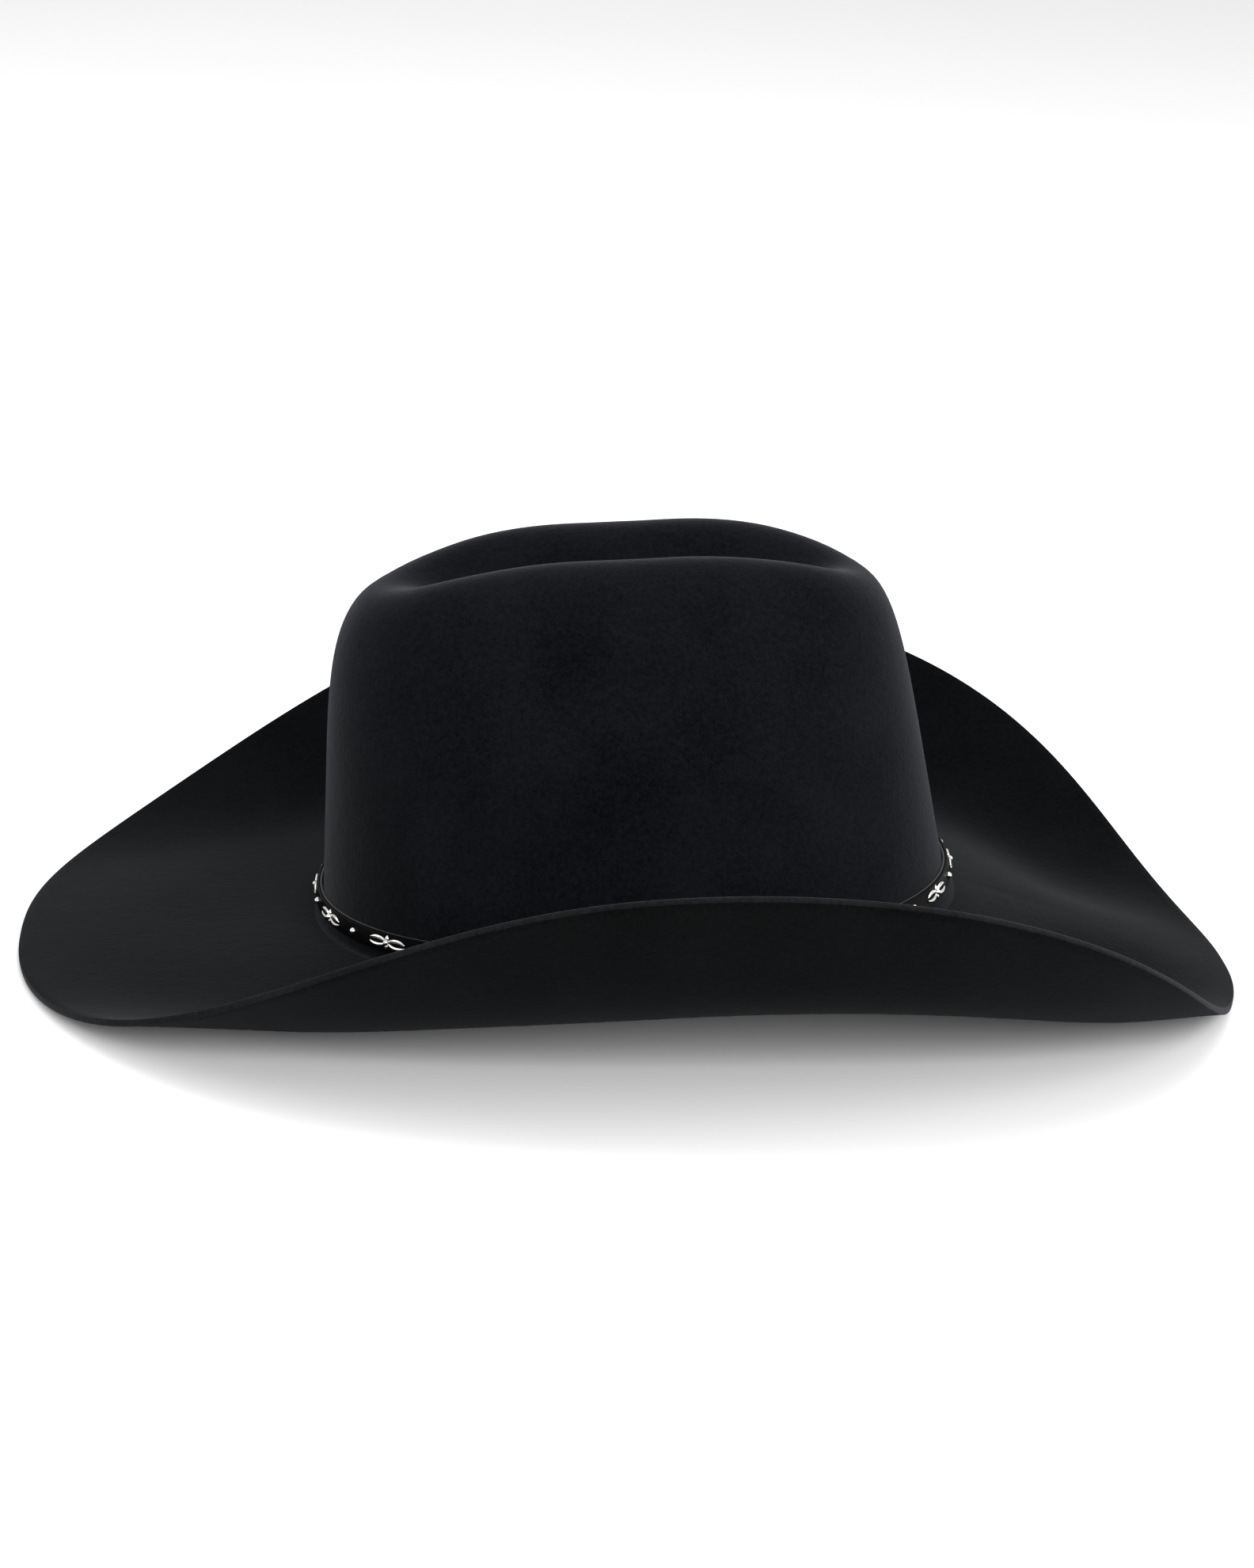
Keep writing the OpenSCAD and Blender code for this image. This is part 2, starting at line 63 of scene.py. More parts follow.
STRAP_T = FACE_T + BACKING_T
FLOWER_PITCH, FLOWER_L, FLOWER_H, FIRST_FLOWER = 34.0, 15.6, 4.9, 80.0
SWEAT_H, SWEAT_T = 44.0, 1.0
LINING_T, LINING_OFF = 0.5, SKIN + 0.65
TAB_OFF = LINING_OFF + LINING_T + 0.15
TAB_T = 0.6
SWEAT_OFF = TAB_OFF + TAB_T + 0.2
REED_R, TAPE_R, REED_H = 0.9, 1.35, -0.5
REED_OFF = SKIN + 0.2 + TAPE_R
TIP_SEAM = math.radians(47)
TIP_CLEAR = 50.0  # strap without studs before the buckle
STRAP_HALF = STRAP_W * 1.05 / 2  # half the strap's height, with some ease
BRIM_RUN = 103.0
SATIN_T = 0.22

# sides round small turned and drawn shapes
STITCH_SIDES, STITCH_ROWS, ROD_SIDES, TURN_SIDES = 8, 9, 18, 32


# ---- where the hat stands, from the frame ----
def joint(name):
    return next(j for j in frame["joints"] if j["name"] == name)


opening = next(m for m in frame["record"]["mounts"] if m["name"] == "head_opening")
UP = np.array(joint("band_lift")["axis"])
FORWARD = np.array([UP[2], 0.0, -UP[0]])
LEFT = np.array([0.0, 1.0, 0.0])
TO_ROW = np.stack([FORWARD, LEFT, UP])


def place(points):
    """Points of the hat's own frame, in mm, to the row frame, in metres."""
    return np.asarray(points, float) @ TO_ROW * MM + np.array(opening["pos_m"])


# ---- the felt's middle surface, the same formulas as the CAD model's ----
def lerp(a, b, t):
    return a + (b - a) * t


def smooth(x):
    t = np.clip(x, 0, 1)
    return t * t * (3 - 2 * t)


def oval(phi):
    c, s = np.cos(phi), np.sin(phi)
    x = np.sign(c) * HEAD_L / 2 * np.maximum(abs(c), 1e-4) ** (2 / HEAD_ROUND)
    y = np.sign(s) * HEAD_W / 2 * np.maximum(abs(s), 1e-4) ** (2 / HEAD_ROUND)
    return x, y


def oval_out(phi):
    x, y = oval(phi)
    n = HEAD_ROUND - 1
    nx = np.sign(x) * abs(2 * x / HEAD_L) ** n / HEAD_L
    ny = np.sign(y) * abs(2 * y / HEAD_W) ** n / HEAD_W
    size = np.hypot(nx, ny)
    return nx / size, ny / size


def ease_in(s, p, k=0.22):
    return ((s * s + k * k) ** (p / 2) - k**p) / ((1 + k * k) ** (p / 2) - k**p)


def brim(phi, t):
    """The brim from the break, t = 0, to its edge, t = 1: one Bezier curve at each angle."""
    phi, t = np.broadcast_arrays(phi, t)
    c = np.maximum(abs(np.cos(phi)), 1e-4)
    s = np.maximum(abs(np.sin(phi)), 1e-4)
    front = np.cos(phi) > 0

    def pick(a, b):
        return np.where(front, a, b)

    bx, by = oval(phi)
    ox, oy = oval_out(phi)
    blunt = np.maximum(1 - s**5.5, 0) ** 0.505 * (1 - 0.3 * (np.sqrt(s * s + 0.02) - 0.02**0.5))
    ex = pick(REACH_FRONT * blunt, -REACH_BACK * c**0.93) + 3 * s * s
    ey = np.sign(np.sin(phi)) * HALF_W * s ** pick(0.815, 0.85)
    tip = pick(FRONT_TIP, BACK_TIP)
    ez = tip + (SIDE_RISE - tip) * s ** pick(2.035, 3.97)
    run = np.hypot(ex - bx, ey - by)
    dx, dy = (ex - bx) / run, (ey - by) / run
    slope_in = np.radians(pick(-22.6, -6.6) * (1 - s**1.23))
    turn = pick(ease_in(s, 0.362), s**2.36)
    slope_edge = np.radians(lerp(pick(-22, -7.6), 64.7, turn))
    pull = (0.512 * np.hypot(run, ez))[..., None]
    b0 = np.stack([bx, by, 0 * bx], -1)
    b3 = np.stack([ex, ey, ez], -1)
    out_dir = [ox * np.cos(slope_in), oy * np.cos(slope_in), np.sin(slope_in)]
    edge_dir = [dx * np.cos(slope_edge), dy * np.cos(slope_edge), np.sin(slope_edge)]
    b1 = b0 + pull * np.stack(out_dir, -1)
    b2 = b3 - pull * np.stack(edge_dir, -1)
    t = t[..., None]
    u = 1 - t
    return u**3 * b0 + 3 * t * u * u * b1 + 3 * t * t * u * b2 + t**3 * b3


def ridge_h(x):
    s = x / (HEAD_L / 2)
    return CROWN_H - np.where(s > 0, FALL_FRONT * abs(s) ** 1.5, FALL_BACK * s * s)


def crease(x, y):
    w = 1 - abs(x / CREASE_L) ** 3
    return CREASE_DEPTH * (w + np.sqrt(w * w + 0.06)) / 2 * np.exp(-((y / CREASE_W) ** 2))


def dent(x, z):
    line = DENT_Z + 20 * (x / 55) ** 2
    return DENT_DEPTH * smooth((82 - abs(x)) / 30) * np.exp(-(((z - line) / 11) ** 2))


def crown(phi, a):
    """The crown from the break, a = 0, to the top's middle, a = 90 degrees."""
    phi, a = np.broadcast_arrays(phi, a)
    s2 = np.sin(phi) ** 2
    end = np.where(np.cos(phi) > 0, SHOULDER_FRONT, SHOULDER_BACK)
    m = lerp(end, SHOULDER_SIDE, np.maximum(abs(np.sin(phi)), 1e-4) ** 1.7)
    ca, sa = np.maximum(np.cos(a), 1e-4), np.maximum(np.sin(a), 1e-4)
    k = (ca**m + sa**m) ** (1 / m)
    rho, up = np.cos(a) / k, np.sin(a) / k
    bx, by = oval(phi)
    x = bx * rho * (1 - np.where(np.cos(phi) > 0, LEAN_FRONT, LEAN_BACK) * up)
    y0 = by * rho * (1 - LEAN_SIDE * up)
    z = up * (ridge_h(x) - crease(x, y0))
    y = y0 - np.sign(y0) * s2 * dent(x, z) * smooth(abs(y0) / 30)
    return np.stack([x, y, z], -1)


START_A = math.atan(BREAK_R / CROWN_H)
START_T = BREAK_R / BRIM_RUN


def middle(phi, v):
    """v is 0 at the brim's edge, 1 to 2 round the break and 3 at the top's middle."""
    phi, v = np.broadcast_arrays(np.asarray(phi, float), np.asarray(v, float))
    low = brim(phi, lerp(1, START_T, np.clip(v, 0, 1)))
    high = crown(phi, lerp(START_A, math.pi / 2, np.clip(v - 2, 0, 1)))
    w = np.clip(v - 1, 0, 1)[..., None]
    ox, oy = oval(phi)
    corner = np.stack([ox, oy, 0 * ox], -1)
    ends = [brim(phi, START_T + 0 * phi), crown(phi, START_A + 0 * phi)]
    bend = (1 - w) ** 2 * ends[0] + 2 * w * (1 - w) * corner + w * w * ends[1]
    v = v[..., None]
    return np.where(v <= 1, low, np.where(v >= 2, high, bend))


def normal(phi, v):
    step, dv = math.radians(0.5), 0.004
    across = middle(phi + step, v) - middle(phi - step, v)
    up = middle(phi, np.minimum(v + dv, 2.999)) - middle(phi, np.maximum(v - dv, 0))
    n = np.cross(across, up)
    return n / np.linalg.norm(n, axis=-1, keepdims=True)


def felt(phi, v, off):
    return middle(phi, v) + np.asarray(off)[..., None] * normal(phi, v)


def wall_v(phi, h):
    ox, oy = oval(phi)
    a = np.arctan(h / (ridge_h(ox) - crease(ox, oy)))
    return 2 + (a - START_A) / (math.pi / 2 - START_A)


def wall(phi, h, off):
    """A point on the crown's wall at a height above the break."""
    phi, h, off = np.broadcast_arrays(phi, h, off)
    p = felt(phi, wall_v(phi, np.maximum(h, BREAK_R)), off)
    p[..., 2] += np.minimum(h - BREAK_R, 0)
    return p


# ---- mesh building ----
def new_object(name, points, faces, materials, uvs=None, face_mats=None):
    mesh = bpy.data.meshes.new(name)
    mesh.from_pydata([tuple(p) for p in place(points)], [], faces)
    for m in materials:
        mesh.materials.append(m)
    if uvs is not None:
        layer = mesh.uv_layers.new(name="UVMap")
        layer.data.foreach_set("uv", np.asarray(uvs, np.float32).ravel())
    if face_mats is not None:
        mesh.polygons.foreach_set("material_index", np.asarray(face_mats, np.int32))
    mesh.polygons.foreach_set("use_smooth", np.ones(len(mesh.polygons), bool))
    mesh.update()
    turn_outward(mesh)
    obj = bpy.data.objects.new(name, mesh)
    bpy.context.scene.collection.objects.link(obj)
    return obj


def turn_outward(mesh):
    """Flips a closed mesh whose faces look inwards."""
    bm = bmesh.new()
    bm.from_mesh(mesh)
    if bm.calc_volume(signed=True) < 0:
        bmesh.ops.reverse_faces(bm, faces=bm.faces)
        bm.to_mesh(mesh)
    bm.free()


def faces_outward(points, faces):
    """The faces of one closed solid, flipped if they look inwards."""
    volume = 0
    for face in faces:
        p = points[face]
        volume += np.sum(np.cross(p[1:-1] - p[0], p[2:] - p[0]) @ (p[0] - points[0]))
    return faces if volume > 0 else [face[::-1] for face in faces]


def grid_faces(rows, cols, shut_rows, shut_cols):
    """Quads over a grid, and each corner's place in it, for the UVs."""
    i, j = np.meshgrid(
        np.arange(rows if shut_rows else rows - 1),
        np.arange(cols if shut_cols else cols - 1),
        indexing="ij",
    )
    i, j = i.ravel(), j.ravel()
    corners = [(i, j), (i, j + 1), (i + 1, j + 1), (i + 1, j)]
    faces = np.stack([(a % rows) * cols + (b % cols) for a, b in corners], -1)
    spots = np.stack([np.stack([a, b], -1) for a, b in corners], 1)
    return faces, spots


def sweep(name, rings, material, shut=True, step_u=1.0, step_v=1.0, flip=False):
    """A closed tube over rings of points (count, around, 3), with flat ends if open."""
    rings = np.asarray(rings, float)
    rows, cols = rings.shape[:2]
    faces, spots = grid_faces(rows, cols, shut, True)
    uvs = spots.reshape(-1, 2) * [step_u, step_v]
    faces = faces.tolist()
    if not shut:
        ends = [list(range(cols - 1, -1, -1)), list(range((rows - 1) * cols, rows * cols))]
        for end in ends:
            faces.append(end)
        uvs = np.concatenate([uvs, np.zeros((2 * cols, 2))])
    if flip:
        faces = [f[::-1] for f in faces]
        sizes = [len(f) for f in faces]
        cuts = np.cumsum([0] + sizes)
        uvs = np.concatenate([uvs[a:b][::-1] for a, b in zip(cuts[:-1], cuts[1:])])
    return new_object(name, rings.reshape(-1, 3), faces, [material], uvs)


def join(name, pieces, material):
    """One object from several (points, faces) lists."""
    points, faces = [], []
    for p, f in pieces:
        base = sum(len(q) for q in points)
        points.append(np.asarray(p))
        faces += [[base + k for k in face] for face in faces_outward(points[-1], f)]
    return new_object(name, np.concatenate(points), faces, [material])


def closed_tube(rings):
    """Points and faces of a tube whose two ends are closed flat."""
    rings = np.asarray(rings, float)
    rows, cols = rings.shape[:2]
    faces, _ = grid_faces(rows, cols, False, True)
    faces = faces.tolist()
    faces.append(list(range(cols - 1, -1, -1)))
    faces.append(list(range((rows - 1) * cols, rows * cols)))
    return rings.reshape(-1, 3), faces


def wobble(a, b, seed, size):
    """Smooth unevenness over two coordinates, from a few seeded sine waves."""
    local = np.random.default_rng(seed)
    total = 0
    for _ in range(7):
        k1, k2 = local.integers(1, 7), local.uniform(0.5, 5)
        phase = local.uniform(0, 2 * math.pi)
        total = total + np.sin(k1 * a + k2 * b + phase) / 7**0.5
    return size * total


def off_the_pole(v):
    """Fades a wobble out where the rows close on the crown's middle."""
    return smooth((3 - v) / 0.5)


# ---- materials ----
class Look:
    """A Principled material with helpers for procedural detail."""

    def __init__(self, name, colour, rough, **sockets):
        self.material = bpy.data.materials.new(name)
        self.material.use_nodes = True
        self.tree = self.material.node_tree
        self.shader = self.tree.nodes["Principled BSDF"]
        self.set("Base Color", (*colour, 1))
        self.set("Roughness", rough)
        for key, value in sockets.items():
            self.set(key.replace("_", " "), value)

    def set(self, socket, value):
        self.shader.inputs[socket].default_value = value

    def node(self, kind, **values):
        n = self.tree.nodes.new(kind)
        for key, value in values.items():
            if key in n.inputs:
                n.inputs[key].default_value = value
            else:
                setattr(n, key, value)
        return n

    def link(self, a, b):
        self.tree.links.new(a, b)

    def coords(self, kind="Object", scale=(1, 1, 1)):
        tex = self.node("ShaderNodeTexCoord")
        mapping = self.node("ShaderNodeMapping")
        mapping.inputs["Scale"].default_value = scale
        self.link(tex.outputs[kind], mapping.inputs["Vector"])
        return mapping.outputs["Vector"]

    def noise(self, scale, detail, rough=0.5):
        n = self.node("ShaderNodeTexNoise", Scale=scale, Detail=detail, Roughness=rough)
        self.link(self.coords(), n.inputs["Vector"])
        return n.outputs["Fac"]

    def cells(self, scale):
        n = self.node("ShaderNodeTexVoronoi", Scale=scale)
        self.link(self.coords(), n.inputs["Vector"])
        return n.outputs["Distance"]

    def wave(self, scale, where, direction, distortion):
        n = self.node("ShaderNodeTexWave", Scale=scale, Distortion=distortion)
        n.bands_direction = direction
        self.link(where, n.inputs["Vector"])
        return n.outputs["Fac"]

    def math(self, operation, a, b):
        n = self.node("ShaderNodeMath", operation=operation)
        for socket, value in zip(n.inputs, (a, b)):
            if isinstance(value, (int, float)):
                socket.default_value = value
            else:
                self.link(value, socket)
        return n.outputs[0]

    def ramp(self, value, *stops):
        n = self.node("ShaderNodeValToRGB")
        elements = n.color_ramp.elements
        while len(elements) < len(stops):
            elements.new(0.5)
        for element, (spot, colour) in zip(elements, stops):
            element.position = spot
            element.color = (*colour, 1) if len(colour) == 3 else (colour[0],) * 3 + (1,)
        self.link(value, n.inputs["Fac"])
        return n.outputs["Color"]

    def colour_from(self, value, *stops):
        self.link(self.ramp(value, *stops), self.shader.inputs["Base Color"])
        return self

    def rough_from(self, value, low, high):
        n = self.node("ShaderNodeMapRange")
        n.inputs["To Min"].default_value = low
        n.inputs["To Max"].default_value = high
        self.link(value, n.inputs["Value"])
        self.link(n.outputs["Result"], self.shader.inputs["Roughness"])
        return self

    def bump(self, height, strength, depth):
        n = self.node("ShaderNodeBump", Strength=strength, Distance=depth)
        self.link(height, n.inputs["Height"])
        if self.shader.inputs["Normal"].links:
            self.link(self.shader.inputs["Normal"].links[0].from_socket, n.inputs["Normal"])
        self.link(n.outputs["Normal"], self.shader.inputs["Normal"])
        return self


def felt_look(name, dark, light, sheen):
    """Short-napped felt: fine grain, cloudy patches from brushing, and a soft rim of fuzz."""
    look = Look(name, dark, 0.9, Sheen_Weight=sheen, Sheen_Roughness=0.42)
    look.set("Sheen Tint", (0.86, 0.92, 1.0, 1))
    look.set("Specular IOR Level", 0.03)
    fine = look.noise(1900, 3, 0.6)
    grain = look.noise(620, 4, 0.72)
    patches = look.noise(30, 3, 0.55)
    nap = look.math("ADD", look.math("MULTIPLY", fine, 0.45), look.math("MULTIPLY", grain, 0.55))
    both = look.math("ADD", look.math("MULTIPLY", nap, 0.72), look.math("MULTIPLY", patches, 0.28))
    look.colour_from(both, (0.38, dark), (0.62, light))
    look.bump(nap, 0.7, 0.0005)
    look.bump(look.noise(150, 3, 0.6), 0.2, 0.0008)
    return look.material


FELT = felt_look("felt_nap", (0.0004, 0.0006, 0.0010), (0.0044, 0.0051, 0.0065), 0.075)
# the brim's top takes a darker copy of the same felt: painted shade, drawn as if the brim were less lit
# than the crown
FELT_BRIM_PAINTED_SHADE = felt_look("felt_brim_painted_shade", (0.0003, 0.0004, 0.0005), (0.0026, 0.0029, 0.0033), 0.04)
# the inside and the brim's underside take a darker copy of the same felt: painted shade, drawn as if less
# lit
FELT_UNDER_PAINTED_SHADE = felt_look("felt_underside_painted_shade", (0.0003, 0.0005, 0.0005), (0.0024, 0.0029, 0.0030), 0.02)
FELT_EDGE = felt_look("felt_cut_edge", (0.0016, 0.0018, 0.0020), (0.0080, 0.0084, 0.0092), 0.07)
FELTS = [FELT, FELT_EDGE, FELT_UNDER_PAINTED_SHADE, FELT_BRIM_PAINTED_SHADE]


def glossy_leather():
    look = Look("band_leather_gloss", (0.001, 0.001, 0.0011), 0.4)
    look.set("Specular IOR Level", 0.025)
    grain = look.cells(1900)
    look.bump(grain, 0.12, 0.0002)
    look.bump(look.noise(160, 3), 0.1, 0.0006)
    look.colour_from(look.noise(300, 3), (0.3, (0.0003, 0.0003, 0.0004)), (0.7, (0.0012, 0.0012, 0.0013)))
    look.rough_from(look.noise(500, 4), 0.32, 0.5)
    return look.material


# The backing's edge is black edge paint; the grey of this colour stands for the light its gloss reflects:
# a painted reflection.
def edge_leather():
    look = Look("band_edge_painted_reflection", (0.03, 0.03, 0.031), 0.6)
    look.set("Specular IOR Level", 0.25)
    look.colour_from(look.noise(1500, 4, 0.7), (0.3, (0.020, 0.020, 0.021)), (0.7, (0.055, 0.055, 0.057)))
    look.bump(look.noise(2600, 3, 0.7), 0.4, 0.0003)
    return look.material


def soft_leather():
    look = Look("sweatband_leather", (0.014, 0.012, 0.011), 0.5, Sheen_Weight=0.05)
    grain = look.cells(1100)
    look.colour_from(look.noise(55, 4), (0.35, (0.010, 0.0085, 0.008)), (0.7, (0.024, 0.020, 0.018)))
    look.rough_from(grain, 0.4, 0.62)
    look.bump(grain, 0.35, 0.0003)
    look.bump(look.noise(90, 4), 0.15, 0.001)
    return look.material


def silver():
    look = Look("old_silver", (0.78, 0.77, 0.74), 0.18, Metallic=1.0)
    tarnish = look.noise(260, 5, 0.65)
    look.colour_from(tarnish, (0.3, (0.50, 0.48, 0.45)), (0.55, (0.80, 0.79, 0.77)))
    look.rough_from(look.noise(1500, 3), 0.12, 0.3)
    look.bump(look.noise(1800, 3), 0.08, 0.0002)
    return look.material


def satin():
    look = Look("lining_satin", (0.016, 0.016, 0.02), 0.34, Sheen_Weight=0.25, Anisotropic=0.5)
    look.set("Sheen Tint", (0.8, 0.85, 1.0, 1))
    threads = look.wave(420, look.coords("UV"), "Y", 0.4)
    look.colour_from(look.noise(70, 3), (0.3, (0.012, 0.012, 0.015)), (0.7, (0.026, 0.026, 0.032)))
    look.bump(threads, 0.12, 0.0001)
    return look.material


def ribbed(name, colour, ribs, direction):
    look = Look(name, colour, 0.75, Sheen_Weight=0.3)
    weave = look.wave(ribs, look.coords("UV"), direction, 0.2)
    light = tuple(min(1, c * 2.2 + 0.004) for c in colour)
    look.colour_from(weave, (0.2, colour), (0.9, light))
    look.bump(weave, 0.7, 0.0002)
    return look.material


def thread():
    look = Look("thread_twist", (0.02, 0.02, 0.022), 0.6, Sheen_Weight=0.2)
    twist = look.wave(900, look.coords("Object", (1, 1, 2)), "DIAGONAL", 1.0)
    look.colour_from(twist, (0.2, (0.012, 0.012, 0.013)), (0.8, (0.05, 0.05, 0.053)))
    look.bump(twist, 0.5, 0.0001)
    return look.material


def plastic():
    look = Look("reed_plastic", (0.55, 0.52, 0.46), 0.35)
    look.colour_from(look.noise(200, 3), (0.3, (0.48, 0.45, 0.39)), (0.7, (0.6, 0.57, 0.51)))
    look.bump(look.noise(700, 2), 0.1, 0.0002)
    return look.material


GLOSS = glossy_leather()
EDGE_PAINTED_REFLECTION = edge_leather()
SWEAT = soft_leather()
SILVER = silver()
SATIN = satin()
THREAD = thread()
REED = plastic()
TAPE = ribbed("cotton_tape", (0.018, 0.018, 0.02), 60, "X")
RIBBON = ribbed("grosgrain_ribbon", (0.012, 0.012, 0.014), 110, "X")


def finish_piece(obj, body, slot, *nodes):
    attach(obj, body)
    if nodes:
        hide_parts(*nodes)
    return obj


# ---- felt body: one skin from the top's middle, round the cut edge, to the inside ----
def make_felt():
    steps = 360
    phi = (np.arange(steps) + 0.5) * 2 * math.pi / steps
    outer_v = np.concatenate(
        [np.linspace(2.992, 2, 96), np.linspace(1.9, 1.1, 6), np.linspace(1, 0.0, 56)]
    )
    inner_v = np.concatenate(
        [np.linspace(0.0, 1, 40), np.linspace(1.15, 1.85, 4), np.linspace(2, 2.992, 40)]
    )
    edge_t = np.radians(np.linspace(90, -90, 9))[1:-1]
    rows = []
    for v in outer_v:
        rows.append(felt(phi, v, SKIN + off_the_pole(v) * wobble(phi, 3 * v, 3, 0.10)))
    edge, n = middle(phi, 0.0), normal(phi, 0.0)
    out = middle(phi, 0.0) - middle(phi, 0.01)
    out /= np.linalg.norm(out, axis=-1, keepdims=True)
    for t in edge_t:
        bulge = 0.35 * math.cos(t) ** 0.6
        rows.append(edge + n * SKIN * math.sin(t) * 0.98 + out * bulge)
    for v in inner_v:
        rows.append(felt(phi, v, -SKIN + off_the_pole(v) * wobble(phi, 3 * v, 4, 0.05)))
    rows = np.array(rows)
    # the edge isn't cut and steamed perfectly: a slow wave that fades towards the crown
    all_v = np.concatenate([outer_v, 0 * edge_t, inner_v])
    fade = smooth(1 - all_v / 0.8)[:, None]
    rows[..., 2] += fade * wobble(phi[None, :], 0, 5, 0.25)
    count = len(rows)
    faces, spots = grid_faces(count, steps, False, True)
    at_edge = (faces[:, 0] // steps >= len(outer_v) - 1) & (
        faces[:, 0] // steps < len(outer_v) + len(edge_t)
    )
    top = middle(0.0, 2.9999) + [0, 0, SKIN]
    under = middle(0.0, 2.9999) - [0, 0, SKIN]
    points = np.concatenate([rows.reshape(-1, 3), [top], [under]])
    last = (count - 1) * steps
    fans = [[count * steps, j, (j + 1) % steps] for j in range(steps)]
    fans += [[count * steps + 1, last + (j + 1) % steps, last + j] for j in range(steps)]
    # rows on the inside and under the brim take the darker underside copy of the felt: painted shade
    under_shade_rows = faces[:, 0] // steps >= len(outer_v) + len(edge_t)
    # the brim's top faces take the darker brim copy of the felt: painted shade
    brim_shade_faces = (all_v[faces[:, 0] // steps] <= 1) & ~at_edge & ~under_shade_rows
    mats = np.concatenate([at_edge + 2 * under_shade_rows + 3 * brim_shade_faces, np.repeat([0, 2], steps)])
    faces = [f[::-1] for f in faces.tolist()] + [f[::-1] for f in fans]
    return new_object("felt_crown_and_brim", points, faces, FELTS, None, mats)


felt_obj = finish_piece(make_felt(), "hat", "felt", "felt_body")


# ---- inside: sweatband, reed, tape, stitches, tab, bow ----
def strip_rings(phis, heights, off_a, off_b):
    """Cross-sections of a leather strip with rounded edges, inside the crown."""
    phis = np.asarray(phis)[:, None]
    h = np.concatenate([heights, heights[::-1]])[None, :]
    depth = off_b - off_a
    ends = np.ones(len(heights))
    ends[0] = ends[-1] = 0.35
    mid = (off_a + off_b) / 2
    off = np.concatenate([mid - ends * depth / 2, (mid + ends * depth / 2)[::-1]])[None, :]
    return wall(phis, h, -off)


def make_sweatband():
    steps = 300
    phis = np.radians(np.linspace(180.25, 539.75, steps))
    core = np.linspace(1.9, SWEAT_H - 0.35, 26)
    heights = np.concatenate([[1.6], core, [SWEAT_H]])
    rings = strip_rings(phis, heights, SWEAT_OFF, SWEAT_OFF + SWEAT_T)
    # leather stands away from the lining in soft waves towards its top edge
    out = np.stack([*oval_out(phis), 0 * phis], -1)[:, None, :]
    h = np.concatenate([heights, heights[::-1]])[None, :, None]
    lift = (h / SWEAT_H) ** 2 * (0.25 + wobble(phis, 0, 11, 0.12))[:, None, None]
    rings = rings - out * lift
    return sweep("sweatband_leather", rings, SWEAT, False, 2.0, 1.6)


def round_rings(phis, h, off, radius, sides):
    """Rings of a cord that follows the head oval."""
    p = wall(phis, h, -off)[:, None, :]
    o = np.stack([*oval_out(phis), 0 * phis], -1)[:, None, :]
    a = np.linspace(0, 2 * math.pi, sides, endpoint=False)[None, :, None]
    return p + radius * np.cos(a) * o + radius * np.sin(a) * np.array([0, 0, 1.0])


def make_reed():
    phis = np.radians(np.linspace(0, 360, 240, endpoint=False))
    return sweep("reed_cord", round_rings(phis, REED_H, REED_OFF, REED_R, 14), REED)


def make_tape():
    phis = np.radians(np.linspace(0, 360, 300, endpoint=False))
    wrap = np.radians(np.linspace(100, 420, 22))
    p = wall(phis, REED_H, -REED_OFF)[:, None, :]
    o = np.stack([*oval_out(phis), 0 * phis], -1)[:, None, :]
    up = np.array([0, 0, 1.0])
    fold = 0.03 * np.sin(phis * 70)[:, None, None]
    loops = []
    for angles, radius in ((wrap, TAPE_R), (wrap[::-1], REED_R + 0.08)):
        a = angles[None, :, None]
        loops.append(p + (radius + fold * (radius > 1)) * (np.cos(a) * o + np.sin(a) * up))
    return sweep("reed_tape_cloth", np.concatenate(loops, 1), TAPE, True, 2.0, 0.4)


def stitch(start, end, radius, sag):
    """Points and faces of one stitch: a thread that dives in at both ends."""
    t = np.linspace(0, 1, STITCH_ROWS)[:, None]
    line = start + (end - start) * t
    sag = np.asarray(sag)
    line = line + sag * (4 * t * (1 - t) - 0.35)
    along = (end - start) / np.linalg.norm(end - start)
    side = np.cross(along, sag / np.linalg.norm(sag))
    a = np.linspace(0, 2 * math.pi, STITCH_SIDES, endpoint=False)[None, :, None]
    r = radius * (1 - 0.45 * abs(2 * t - 1) ** 6)[:, None, :]
    out = (sag / np.linalg.norm(sag))[None, None, :]
    return closed_tube(line[:, None, :] + r * (np.cos(a) * side + np.sin(a) * out))


def make_sweat_stitches():
    count, pieces = 96, []
    for i in range(count):
        phi = i * 2 * math.pi / count
        o = np.array([*oval_out(phi), 0.0])
        along = np.array([-o[1], o[0], 0.0])
        p = wall(phi, REED_H - TAPE_R - 0.2, -REED_OFF)
        lean = 0.35 * o
        pieces.append(
            stitch(p - along * 2.2 - lean, p + along * 2.2 + lean, 0.2, np.array([0, 0, -0.25]))
        )
    return join("sweatband_sewing", pieces, THREAD)


def make_tab():
    phis = np.radians(np.linspace(175, 185, 24))
    heights = np.linspace(6, SWEAT_H - 3, 16)
    rings = strip_rings(phis, heights, TAB_OFF, TAB_OFF + TAB_T)
    return sweep("seam_tab_leather", rings, SWEAT, False, 2.0, 1.6)


